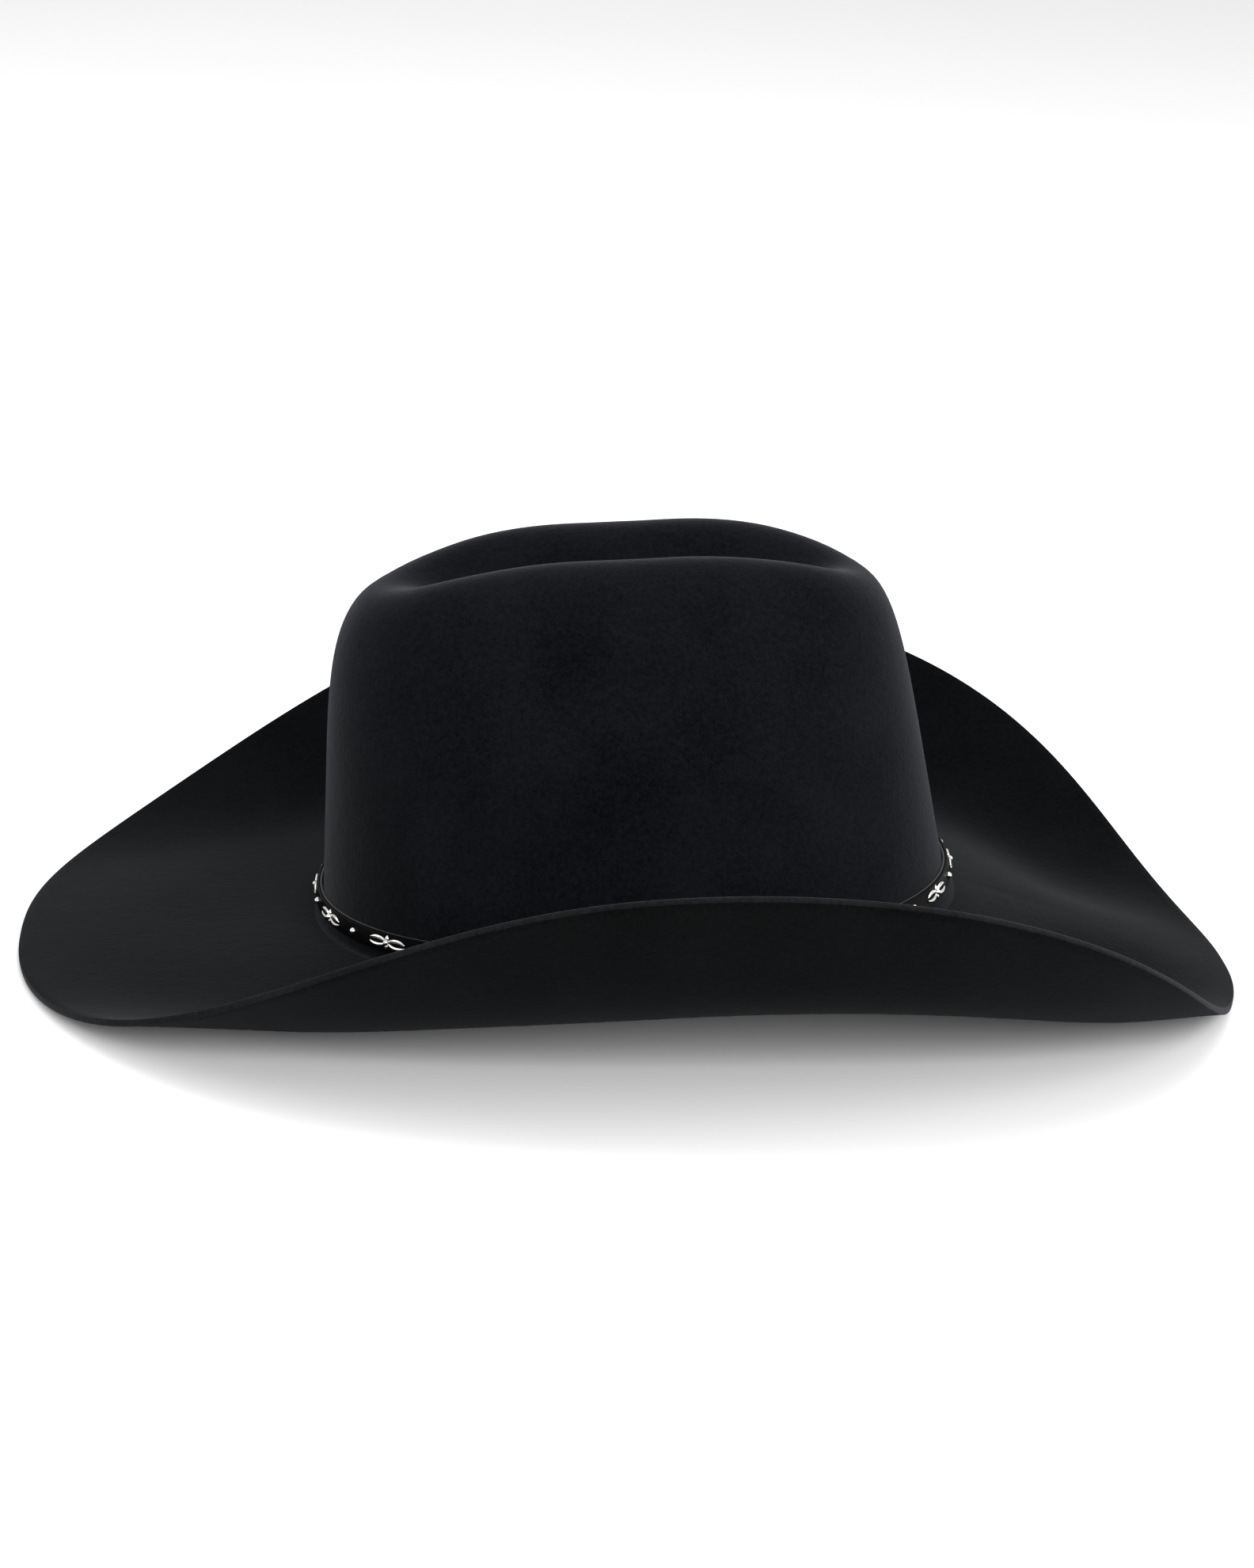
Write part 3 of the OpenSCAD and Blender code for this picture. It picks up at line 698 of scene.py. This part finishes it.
def make_bow():
    """A flat ribbon bow: two loops, two tails and a knot, over the back seam."""
    centre = wall(math.pi, 9.0, -(SWEAT_OFF + SWEAT_T + 1.25))
    right, up, out = np.array([0, 1.0, 0]), np.array([0, 0, 1.0]), np.array([1.0, 0, 0])
    half_t, pieces = 0.16, []

    def ribbon(path, widths):
        path = np.asarray(path, float)
        along = np.gradient(path, axis=0)
        along /= np.linalg.norm(along, axis=1, keepdims=True)
        face = np.cross(along, up)
        face /= np.linalg.norm(face, axis=1, keepdims=True)
        rings = []
        for p, f, w in zip(path, face, widths):
            rings.append(
                [p - up * w - f * half_t, p - up * w + f * half_t,
                 p + up * w + f * half_t, p + up * w - f * half_t]
            )
        return closed_tube(rings)

    t = np.linspace(0, 1, 25)
    for flip in (1, -1):
        y = flip * (8.4 * np.sin(math.pi * t) ** 0.9 + 0.4)
        x = 0.75 * np.sin(2 * math.pi * t) * (0.6 + 0.4 * np.sin(math.pi * t))
        path = centre + y[:, None] * right + x[:, None] * out
        pieces.append(ribbon(path, 1.2 + 1.3 * np.sin(math.pi * t) ** 0.7))
        s = np.linspace(0, 1, 12)
        tail = centre + flip * (7.6 * s)[:, None] * right - (3.4 * s**1.3)[:, None] * up
        tail = tail - (0.75 - 0.2 * s)[:, None] * out
        pieces.append(ribbon(tail, 0.9 + 0.9 * s))
    a = np.linspace(0, 2 * math.pi, 20, endpoint=False)
    knot = []
    for z in np.linspace(-1.5, 1.5, 7):
        r = 1 - 0.25 * abs(z / 1.5) ** 3
        knot.append(
            [centre + up * z + right * 1.25 * r * math.cos(k) + out * 1.0 * r * math.sin(k) for k in a]
        )
    pieces.append(closed_tube(knot))
    return join("seam_bow_ribbon", pieces, RIBBON)


finish_piece(make_sweatband(), "hat", "sweat_leather", "sweatband")
finish_piece(make_reed(), "hat", "reed", "sweatband_reed")
finish_piece(make_tape(), "hat", "tape", "reed_tape")
finish_piece(make_sweat_stitches(), "hat", "thread", "sweatband_stitches")
finish_piece(make_tab(), "hat", "sweat_leather", "sweatband_seam_tab")
finish_piece(make_bow(), "hat", "ribbon", "sweatband_bow")


# ---- satin lining ----
def seam_v(a):
    return 2 + (a - START_A) / (math.pi / 2 - START_A)


def make_lining_side():
    steps, rows = 480, 34
    phi = (np.arange(steps) + 0.5) * 2 * math.pi / steps
    v0 = wall_v(phi, 18.0)
    t = np.linspace(0, 1, rows)[:, None]
    v = lerp(v0[None, :], seam_v(TIP_SEAM), t)
    # gathered at the tip's seam, loose in the middle and flat where it is sewn in
    pleats = 0.32 * np.sin(phi * 52 + 0.6 * np.sin(3 * phi))[None, :] * smooth((t - 0.35) / 0.6)
    slack = 0.9 * np.sin(math.pi * np.clip(t, 0, 1)) * (1 + 0.4 * np.sin(9 * phi)[None, :])
    inside = LINING_OFF + 0.1 + abs(slack) + pleats + 0.33 * smooth((t - 0.35) / 0.6)
    front = felt(np.broadcast_to(phi, v.shape), v, -inside)
    back = felt(np.broadcast_to(phi, v.shape), v, -(inside + SATIN_T))
    rings = np.concatenate([front, back[::-1]]).transpose(1, 0, 2)
    return sweep("lining_side_satin", rings, SATIN, True, 1.2, 3.0)


def make_lining_tip():
    steps = 240
    phi = (np.arange(steps) + 0.5) * 2 * math.pi / steps
    vs = np.linspace(seam_v(TIP_SEAM + math.radians(1)), 2.992, 34)[:, None]
    wrinkle = off_the_pole(vs) * wobble(phi[None, :] * 2, 9 * vs, 21, 0.28)
    wrinkle = wrinkle + 0.22 * np.sin(phi * 52)[None, :] * smooth((2.62 - vs) / 0.12)
    off = LINING_OFF + 0.75 + wrinkle
    top = felt(np.broadcast_to(phi, off.shape), np.broadcast_to(vs, off.shape), -off)
    low = felt(np.broadcast_to(phi, off.shape), np.broadcast_to(vs, off.shape), -(off + SATIN_T))
    rows = np.concatenate([top[::-1], low])
    faces, spots = grid_faces(len(rows), steps, False, True)
    points = np.concatenate(
        [rows.reshape(-1, 3), [top[-1].mean(0)], [low[-1].mean(0)]]
    )
    last = (len(rows) - 1) * steps
    fans = [[len(rows) * steps, j, (j + 1) % steps] for j in range(steps)]
    fans += [[len(rows) * steps + 1, last + (j + 1) % steps, last + j] for j in range(steps)]
    uv = spots.reshape(-1, 2)[:, ::-1] * [1.2, 3.0]
    uv = np.concatenate([uv, np.zeros((3 * len(fans), 2))])
    faces = [f[::-1] for f in faces.tolist()] + [f[::-1] for f in fans]
    return new_object("lining_tip_satin", points, faces, [SATIN], uv)


def make_piping():
    phi = np.radians(np.linspace(0, 360, 420, endpoint=False))
    p = felt(phi, seam_v(TIP_SEAM + math.radians(0.5)), -(LINING_OFF + LINING_T + 0.82))
    o = np.stack([*oval_out(phi), 0 * phi], -1)[:, None, :]
    a = np.linspace(0, 2 * math.pi, 16, endpoint=False)[None, :, None]
    r = 0.62 * (0.86 + 0.14 * abs(np.sin(1.5 * a + 60 * phi[:, None, None])))
    rings = p[:, None, :] + r * (np.cos(a) * o + np.sin(a) * np.array([0, 0, 1.0]))
    return sweep("lining_piping_cord", rings, SATIN, True, 0.8, 0.3)


lining_side = finish_piece(make_lining_side(), "hat", "satin", "lining_side")
lining_tip = finish_piece(make_lining_tip(), "hat", "satin", "lining_tip")
finish_piece(make_piping(), "hat", "satin", "lining_piping")

# ---- hat band: distance s along it from the buckle's heel bar, towards the back ----
STRAP_Z = STRAP_FOOT + STRAP_W / 2
LIFT_Z = 3.0
CHAPE_S, BILLET_S, KEEPER_S = 5.0, 36.0, 18.0
BAR_Y, OVER_Y, BAR_R = 1.9, 3.5, 0.6
_angles = np.radians(np.arange(90, 450.01, 1.0))
_path = wall(_angles, STRAP_Z, SKIN + STRAP_T)
_arc = np.concatenate([[0], np.cumsum(np.linalg.norm(np.diff(_path, axis=0), axis=1))])
LOOP_L = _arc[-1]
FLOWER_COUNT = int((LOOP_L - FIRST_FLOWER - TIP_CLEAR) // FLOWER_PITCH) + 1


def phi_of(s):
    turns = np.floor(np.asarray(s) / LOOP_L)
    return np.interp(s - turns * LOOP_L, _arc, _angles) + turns * 2 * math.pi


def strap_h(s):
    near = np.minimum(abs(s), abs(s - LOOP_L))
    return STRAP_Z + LIFT_Z * (1 - smooth((near - 22) / 45))


def strap_r(s):
    free_end = lerp(GAP, OVER_Y, smooth((s - LOOP_L + 10) / 9))
    fixed_end = lerp(1.2, GAP, smooth((s - 26) / 14))
    return np.where(s > LOOP_L / 2, free_end, fixed_end)


def on_band(s, r):
    """A frame on the strap: X along it, Y away from the felt, Z up the wall."""
    phi = float(phi_of(s))
    v = float(wall_v(phi, float(strap_h(s))))
    n = normal(phi, v)
    t = np.cross(n, [0, 0, 1.0])
    t /= np.linalg.norm(t)
    u = np.cross(t, n)
    p = middle(phi, v) + (SKIN + r) * n
    return p, np.stack([t, n, u])


def put(points, spot):
    return np.asarray(points, float) @ spot[1] + spot[0]


def make_strap(name, r0, r1, material, start, crowned):
    """One layer of the strap with rounded long edges."""
    ss = np.concatenate(
        [np.linspace(start, 60, 60), np.linspace(61, LOOP_L - 40, 420),
         np.linspace(LOOP_L - 39.5, LOOP_L + BILLET_S, 150)]
    )
    half, corner = STRAP_W / 2, min(0.32, (r1 - r0) * 0.42)
    profile = []
    for ch, cr, a0 in ((-1, 1, 180), (1, 1, 90), (1, -1, 0), (-1, -1, -90)):
        for a in np.radians(np.linspace(a0, a0 - 90, 5)):
            edge = r1 if cr > 0 else r0
            spot = ch * (half - corner) + corner * math.cos(a)
            profile.append((spot, edge - cr * corner + corner * math.sin(a)))
    for h in np.linspace(half - corner, corner - half, 7)[1:-1]:
        profile.append((h, r0))
    top = [(h, r1) for h in np.linspace(corner - half, half - corner, 9)[1:-1]]
    profile = profile[:5] + top + profile[5:]
    profile = np.array(profile)
    crown_up = crowned * np.maximum(0, 1 - (profile[:, 0] / half) ** 2) * (profile[:, 1] > (r0 + r1) / 2)
    phi = phi_of(ss)[:, None]
    h = strap_h(ss)[:, None] + profile[None, :, 0] + 0.05 * wobble(ss / 40, 0, 31, 1)[:, None]
    r = strap_r(ss)[:, None] + SKIN + profile[None, :, 1] + crown_up[None, :]
    return sweep(name, wall(phi, h, r), material, False, 1.0, 1.0, True)


strap = make_strap("band_strap_leather", BACKING_T + 0.03, STRAP_T, GLOSS, CHAPE_S, 0.12)
backing = make_strap("band_backing_leather", 0.0, BACKING_T, EDGE_PAINTED_REFLECTION, CHAPE_S + 3.2, 0.0)


def revolve(profile, sides=24):
    """Points and faces of a solid turned about the local Y axis, in local mm."""
    a = np.linspace(0, 2 * math.pi, sides, endpoint=False)
    rings = [[(r * math.cos(k), y, r * math.sin(k)) for k in a] for r, y in profile]
    return closed_tube(rings)


def petal(path, widths, heights):
    """A petal along a flat path of local (x, z) points: a low ridge on a flat back."""
    along = np.gradient(path, axis=0)
    along /= np.linalg.norm(along, axis=1, keepdims=True)
    side = np.stack([-along[:, 1], along[:, 0]], -1)
    a = np.linspace(0, 2 * math.pi, 14, endpoint=False)
    y = np.where(np.sin(a) > 0, abs(np.sin(a)) ** 0.8, 0)
    rings = []
    for spot, n, w, h in zip(path, side, widths, heights):
        flat = spot + n * (w * np.cos(a))[:, None]
        rings.append(np.stack([flat[:, 0], h * y - 0.12 * (y == 0), flat[:, 1]], -1))
    return closed_tube(rings)


def bead_profile(radius, base):
    return [(radius * 0.25, -0.45), (radius * 0.98, -0.1), (radius, base)] + [
        (radius * math.cos(a), base + radius * 0.95 * math.sin(a))
        for a in np.radians(np.arange(12, 88, 12))
    ] + [(0.03, base + radius * 0.95)]


def flower_petals():
    """Two bowed petals to each side and a short one up and down, with a dome on top."""
    t = np.linspace(0, 1, 21)
    swell = np.sin(math.pi * np.clip(t, 0.015, 0.985))
    bowed = np.stack([t * FLOWER_L / 2, FLOWER_H * (0.09 * t + 0.2 * np.sin(math.pi * t) ** 0.8)], -1)
    short = np.stack([0 * t, t * FLOWER_H / 2], -1)
    parts = [petal(bowed * [a, b], 0.68 * swell**0.5, 0.75 * swell**0.45)
             for a in (1, -1) for b in (1, -1)]
    parts += [petal(short * b, 0.78 * swell**0.7, 0.7 * swell**0.45) for b in (1, -1)]
    parts.append(revolve(bead_profile(0.95, 0.6)))
    return parts


def make_flowers():
    pieces = []
    for i in range(FLOWER_COUNT):
        s = FIRST_FLOWER + i * FLOWER_PITCH
        spot = on_band(s, float(strap_r(s)) + STRAP_T + 0.1)
        pieces += [(put(p, spot), f) for p, f in flower_petals()]
    return join("flower_stud_set", pieces, SILVER)


def make_beads():
    pieces = []
    for i in range(FLOWER_COUNT + 1):
        s = FIRST_FLOWER + (i - 0.5) * FLOWER_PITCH
        spot = on_band(s, float(strap_r(s)) + STRAP_T + 0.1)
        p, f = revolve(bead_profile(1.15, 0.25), 28)
        pieces.append((put(p, spot), f))
    return join("bead_stud_set", pieces, SILVER)


# ---- buckle set, on the wearer's left: X forward, Y away from the felt, Z up ----
def rod(path, wide, tall, up=(0, 1, 0), power=0.75):
    """A bar of rounded section along a path; tall is its half size towards up."""
    path = np.asarray(path, float)
    along = np.gradient(path, axis=0)
    along /= np.linalg.norm(along, axis=1, keepdims=True)
    high = np.asarray(up, float) - along * (along @ np.asarray(up, float))[:, None]
    high /= np.linalg.norm(high, axis=1, keepdims=True)
    across = np.cross(along, high)
    a = np.linspace(0, 2 * math.pi, ROD_SIDES, endpoint=False)
    c = (np.sign(np.cos(a)) * abs(np.cos(a)) ** power)[None, :, None]
    q = (np.sign(np.sin(a)) * abs(np.sin(a)) ** power)[None, :, None]
    wide = np.broadcast_to(wide, len(path))[:, None, None]
    tall = np.broadcast_to(tall, len(path))[:, None, None]
    rings = path[:, None, :] + c * wide * across[:, None, :] + q * tall * high[:, None, :]
    return closed_tube(rings)


def smooth_path(points, count):
    """Points spaced along a smooth curve through a few chosen ones."""
    points = np.asarray(points, float)
    knots = np.concatenate([[0], np.cumsum(np.linalg.norm(np.diff(points, axis=0), axis=1))])
    slopes = np.gradient(points, knots, axis=0)
    t = np.linspace(0, knots[-1], count)
    i = np.clip(np.searchsorted(knots, t) - 1, 0, len(knots) - 2)
    step = (knots[i + 1] - knots[i])[:, None]
    u = (t - knots[i])[:, None] / step
    return (
        points[i] * (1 + 2 * u) * (1 - u) ** 2 + points[i + 1] * u * u * (3 - 2 * u)
        + slopes[i] * step * u * (1 - u) ** 2 + slopes[i + 1] * step * u * u * (u - 1)
    )


def turned_on_bar(profile):
    """A ring turned about the heel bar from a closed profile of (radius, z) points."""
    a = np.linspace(0, 2 * math.pi, TURN_SIDES, endpoint=False)
    rings = [[(r * math.cos(k), BAR_Y + r * math.sin(k), z) for r, z in profile] for k in a]
    faces, _ = grid_faces(TURN_SIDES, len(profile), True, True)
    return np.asarray(rings).reshape(-1, 3), faces.tolist()


FRAME_IN, RAIL = STRAP_W + 1, 1.9
FRONT_X, FRONT_Y = 12.3, 3.8


def make_buckle_frame():
    z = FRAME_IN / 2 + RAIL / 2
    half = [(0, BAR_Y, z), (2.6, 3.1, z), (6, 3.95, z), (9.6, 4.05, z),
            (11.6, 3.9, z - 0.35), (FRONT_X, FRONT_Y, z - 1.5), (FRONT_X + 0.1, FRONT_Y, 0)]
    whole = half + [(x, y, -w) for x, y, w in half[-2::-1]]
    path = smooth_path(whole, 120)
    pieces = [rod(path, 0.95, 0.95 + 0.12 * np.cos(np.linspace(-math.pi, math.pi, 120)))]
    for flip in (1, -1):
        knuckle = [(BAR_R + 0.03, z - 0.8), (1.3, z - 0.95), (1.5, z - 0.7),
                   (1.5, z + 0.7), (1.3, z + 0.95), (BAR_R + 0.03, z + 0.8)]
        pieces.append(turned_on_bar([(r, flip * w) for r, w in knuckle[::flip]]))
    return pieces


def make_buckle_bar():
    z = FRAME_IN / 2 + RAIL
    profile = [(0.02, -z - 0.3), (0.4, -z - 0.25), (0.72, -z - 0.02), (BAR_R, -z + 0.1),
               (BAR_R, z - 0.1), (0.72, z + 0.02), (0.4, z + 0.25), (0.02, z + 0.3)]
    return [turned_on_bar(profile + [(0.005, 0)])]


def make_prong():
    reach = FRONT_X + 0.9
    path = smooth_path(
        [(0.5, BAR_Y + 0.72, 0), (4, 3.7, 0), (8, 4.75, 0), (reach - 1.4, 5.42, 0), (reach, 5.4, 0)], 48
    )
    t = np.linspace(0, 1, 48)
    tip = np.sqrt(np.clip(1 - ((t - 0.93) / 0.071).clip(0) ** 2, 0.02, 1))
    pieces = [rod(path, (0.78 - 0.2 * t) * tip, (0.5 - 0.12 * t) * tip)]
    eye = [(BAR_R + 0.05, -0.72), (1.0, -0.8), (1.15, -0.6),
           (1.15, 0.6), (1.0, 0.8), (BAR_R + 0.05, 0.72)]
    pieces.append(turned_on_bar(eye))
    return pieces


KEEPER_W, KEEPER_R = 5.0, 3.25


def make_keeper():
    """A raised-rim band of metal round both runs of the strap."""
    half_y, half_z, corner = 2.65, STRAP_HALF + 0.7, 0.9
    outline = []
    for cy, cz, a0 in ((1, 1, 0), (-1, 1, 90), (-1, -1, 180), (1, -1, 270)):
        for a in np.radians(np.linspace(a0, a0 + 90, 9)):
            outline.append(((cy * (half_y - corner) + corner * math.cos(a),
                             cz * (half_z - corner) + corner * math.sin(a)),
                            (math.cos(a), math.sin(a))))
    w = KEEPER_W / 2
    section = [(-w, -0.2), (w, -0.2), (w + 0.05, 0.1), (w - 0.15, 0.34), (w - 0.5, 0.38),
               (w - 0.8, 0.2), (w / 2, 0.26), (0, 0.32), (-w / 2, 0.26), (0.8 - w, 0.2),
               (0.5 - w, 0.38), (0.15 - w, 0.34), (-w - 0.05, 0.1)]
    rings = [[(x, p[0] + n[0] * out, p[1] + n[1] * out) for x, out in section] for p, n in outline]
    faces, _ = grid_faces(len(rings), len(section), True, True)
    return [(np.asarray(rings).reshape(-1, 3), faces.tolist())]


def make_billet_tip():
    """A metal cap over the strap's free end, with a raised line at its mouth."""
    end_r, mouth, half_y = STRAP_HALF + 0.8, 4.5, 1.5
    a = np.linspace(0, 2 * math.pi, 40, endpoint=False)
    rings = []
    line = [(mouth, -0.12), (mouth - 0.1, 0.08), (mouth - 0.5, 0.1), (mouth - 0.7, 0)]
    line.append((mouth - 1.2, -0.02))
    line += [(x, 0) for x in np.linspace(2.6, 0, 6)]
    line += [(-end_r * math.sin(k), 0) for k in np.radians(np.arange(6, 90, 6))]
    for x, swell in line:
        part = math.sqrt(max(1 - (min(x, 0) / end_r) ** 2, 0.0009))
        z, y = end_r * part + swell, half_y * part**0.55 + swell
        c, q = np.cos(a), np.sin(a)
        across, up = y * np.sign(c) * abs(c) ** 0.55, z * np.sign(q) * abs(q) ** 0.8
        rings.append(np.stack([0 * a + x, across, up], -1))
    return [closed_tube(rings[::-1])]


def make_fold():
    """The strap's two narrow ends that fold round the heel bar, one each side of the prong."""
    angles = np.radians(np.linspace(90, -90, 17))
    turn = [(0.86 * math.cos(k), BAR_Y + 0.86 * math.sin(k)) for k in angles]
    flat = [(-6.6, 2.6), (-4, 2.66), (-1.6, 2.74)] + turn + [(-1.6, 1.08), (-4, 1.1), (-6.6, 1.1)]
    ear = (STRAP_W - 1 - 2.0) / 4
    pieces = []
    for side in (1, -1):
        z = side * (1.0 + ear)
        pieces.append(rod([(x, y, z) for x, y in flat], 0.23, ear, (0, 0, 1), power=0.5))
    return pieces


def make_chape_stitches():
    pieces = []
    for row in (-1, 1):
        for i in range(4):
            spot = on_band(CHAPE_S + 3 + i * 2.2, float(strap_r(CHAPE_S)) + STRAP_T + 0.1)
            z = row * (STRAP_W / 2 - 0.9)
            ends = [np.array([x, 0.0, z]) for x in (-0.8, 0.8)]
            points, faces = stitch(*ends, 0.19, np.array([0, 0.2, 0]))
            pieces.append((put(points, spot), faces))
    return join("chape_sewing", pieces, THREAD)


def prong_cutter():
    """A long hole with round ends, straight through the strap's free end."""
    length, width = 8.5, 2.2
    a = np.radians(np.arange(-90, 90, 10))
    ends = [(length - width + width / 2 * math.cos(k), width / 2 * math.sin(k)) for k in a]
    ends += [(-width / 2 * math.cos(k), -width / 2 * math.sin(k)) for k in a]
    rings = [[(width / 2 - 0.1 + x, y, z) for x, z in ends] for y in (9, -1)]
    points, faces = closed_tube(rings)
    return new_object("prong_cutter", put(points, on_band(0, 0)), faces, [GLOSS])


def cut(obj, cutter):
    """Takes the cutter's shape out of a piece and leaves no modifier on it."""
    modifier = obj.modifiers.new("slot", "BOOLEAN")
    modifier.object = cutter
    modifier.solver = "MANIFOLD"
    graph = bpy.context.evaluated_depsgraph_get()
    mesh = bpy.data.meshes.new_from_object(obj.evaluated_get(graph))
    obj.modifiers.clear()
    obj.data = mesh


def metal(name, pieces, spot, body, node):
    placed = [(put(p, spot), f) for p, f in pieces]
    return finish_piece(join(name, placed, SILVER), body, "silver", node)


BUCKLE = on_band(0, 0)
metal("buckle_frame_cast", make_buckle_frame(), BUCKLE, "band", "buckle_frame")
metal("buckle_heel_bar", make_buckle_bar(), BUCKLE, "band", "buckle_bar")
metal("buckle_prong_cast", make_prong(), BUCKLE, "prong", "buckle_prong")
metal("keeper_band", make_keeper(), on_band(KEEPER_S, KEEPER_R), "keeper", "keeper_loop")
CAP = on_band(BILLET_S + 0.6, OVER_Y + STRAP_T / 2)
metal("billet_end_cap", make_billet_tip(), CAP, "band", "billet_tip")
finish_piece(make_chape_stitches(), "band", "thread", "chape_stitches")
fold = join("band_strap_fold", [(put(p, BUCKLE), f) for p, f in make_fold()], GLOSS)
finish_piece(fold, "band", "band_leather")
cutter = prong_cutter()
cut(strap, cutter)
cut(backing, cutter)
bpy.data.objects.remove(cutter)

finish_piece(strap, "band", "band_leather", "band_strap")
finish_piece(backing, "band", "band_backing", "band_backing")
finish_piece(make_flowers(), "band", "silver", "flower_studs")
finish_piece(make_beads(), "band", "silver", "bead_studs")

# ---- floor, lights, camera ----
floor_mesh = bpy.data.meshes.new("floor")
floor_mesh.from_pydata([(-9, -9, 0), (9, -9, 0), (9, 9, 0), (-9, 9, 0)], [], [(0, 1, 2, 3)])
floor = bpy.data.objects.new("floor", floor_mesh)
bpy.context.scene.collection.objects.link(floor)
floor_look = Look("pale_floor", (0.86, 0.86, 0.86), 0.6)
floor_look.colour_from(floor_look.noise(3, 2), (0.3, (0.9, 0.9, 0.902)), (0.7, (0.91, 0.91, 0.91)))
floor_mesh.materials.append(floor_look.material)

world = bpy.data.worlds.new("studio")
world.use_nodes = True
world.node_tree.nodes["Background"].inputs["Color"].default_value = (1, 1, 1, 1)
world.node_tree.nodes["Background"].inputs["Strength"].default_value = 0.8
bpy.context.scene.world = world


def soft_light(name, spot, size, power):
    data = bpy.data.lights.new(name, "AREA")
    data.shape = "RECTANGLE"
    data.size, data.size_y = size
    data.energy = power
    light = bpy.data.objects.new(name, data)
    light.location = spot
    light.rotation_euler = (Vector(LIGHT_AIM) - Vector(spot)).to_track_quat("-Z", "Y").to_euler()
    bpy.context.scene.collection.objects.link(light)


LIGHT_AIM = (0, 0, 0.06)
soft_light("key", (0.3, -2.0, 1.1), (2.4, 1.0), 50)
soft_light("right", (1.9, -0.2, 0.9), (0.8, 1.4), 22)
soft_light("left", (-1.9, 0.3, 0.8), (0.8, 1.4), 7)
soft_light("overhead", (0.1, 0.6, 2.2), (2.4, 1.6), 24)

# The camera looks at the hat's right side from a little above, the head opening nearly
# level in its picture. These are its distance, height and turn about the aim point.
CAMERA_D, CAMERA_UP, CAMERA_TURN, CAMERA_ROLL = 1364.6, 17.74, 3.74, -0.32
HAT_PITCH_SEEN = 1.67
AIM = (-1.12, 0.15, 38.05)
LENS_MM = 118.64


def make_camera():
    e, r = math.radians(CAMERA_UP), math.radians(CAMERA_ROLL)
    right = np.array([1.0, 0, 0])
    up = np.array([0, math.sin(e), math.cos(e)])
    back = np.array([0, -math.cos(e), math.sin(e)])
    axes = [right * math.cos(r) + up * math.sin(r), up * math.cos(r) - right * math.sin(r), back]
    turn, pitch = math.radians(CAMERA_TURN), math.radians(HAT_PITCH_SEEN)
    spin = np.array(
        [[math.cos(turn), -math.sin(turn), 0], [math.sin(turn), math.cos(turn), 0], [0, 0, 1]]
    )
    lean = np.array(
        [[math.cos(pitch), 0, -math.sin(pitch)], [0, 1, 0], [math.sin(pitch), 0, math.cos(pitch)]]
    )
    seen = spin @ lean
    axes = [place(seen.T @ a) - place([0, 0, 0]) for a in axes]
    axes = [a / np.linalg.norm(a) for a in axes]
    spot = place(np.array(AIM) + seen.T @ (back * CAMERA_D))
    data = bpy.data.cameras.new("camera")
    data.sensor_fit = "HORIZONTAL"
    data.sensor_width = 36.0
    data.lens = LENS_MM
    data.clip_start, data.clip_end = 0.05, 60
    camera = bpy.data.objects.new("camera", data)
    bpy.context.scene.collection.objects.link(camera)
    rotation = Matrix(np.array(axes).T.tolist()).to_4x4()
    camera.matrix_world = Matrix.Translation(Vector(spot)) @ rotation
    bpy.context.scene.camera = camera


make_camera()
bpy.context.scene.view_settings.view_transform = "Standard"
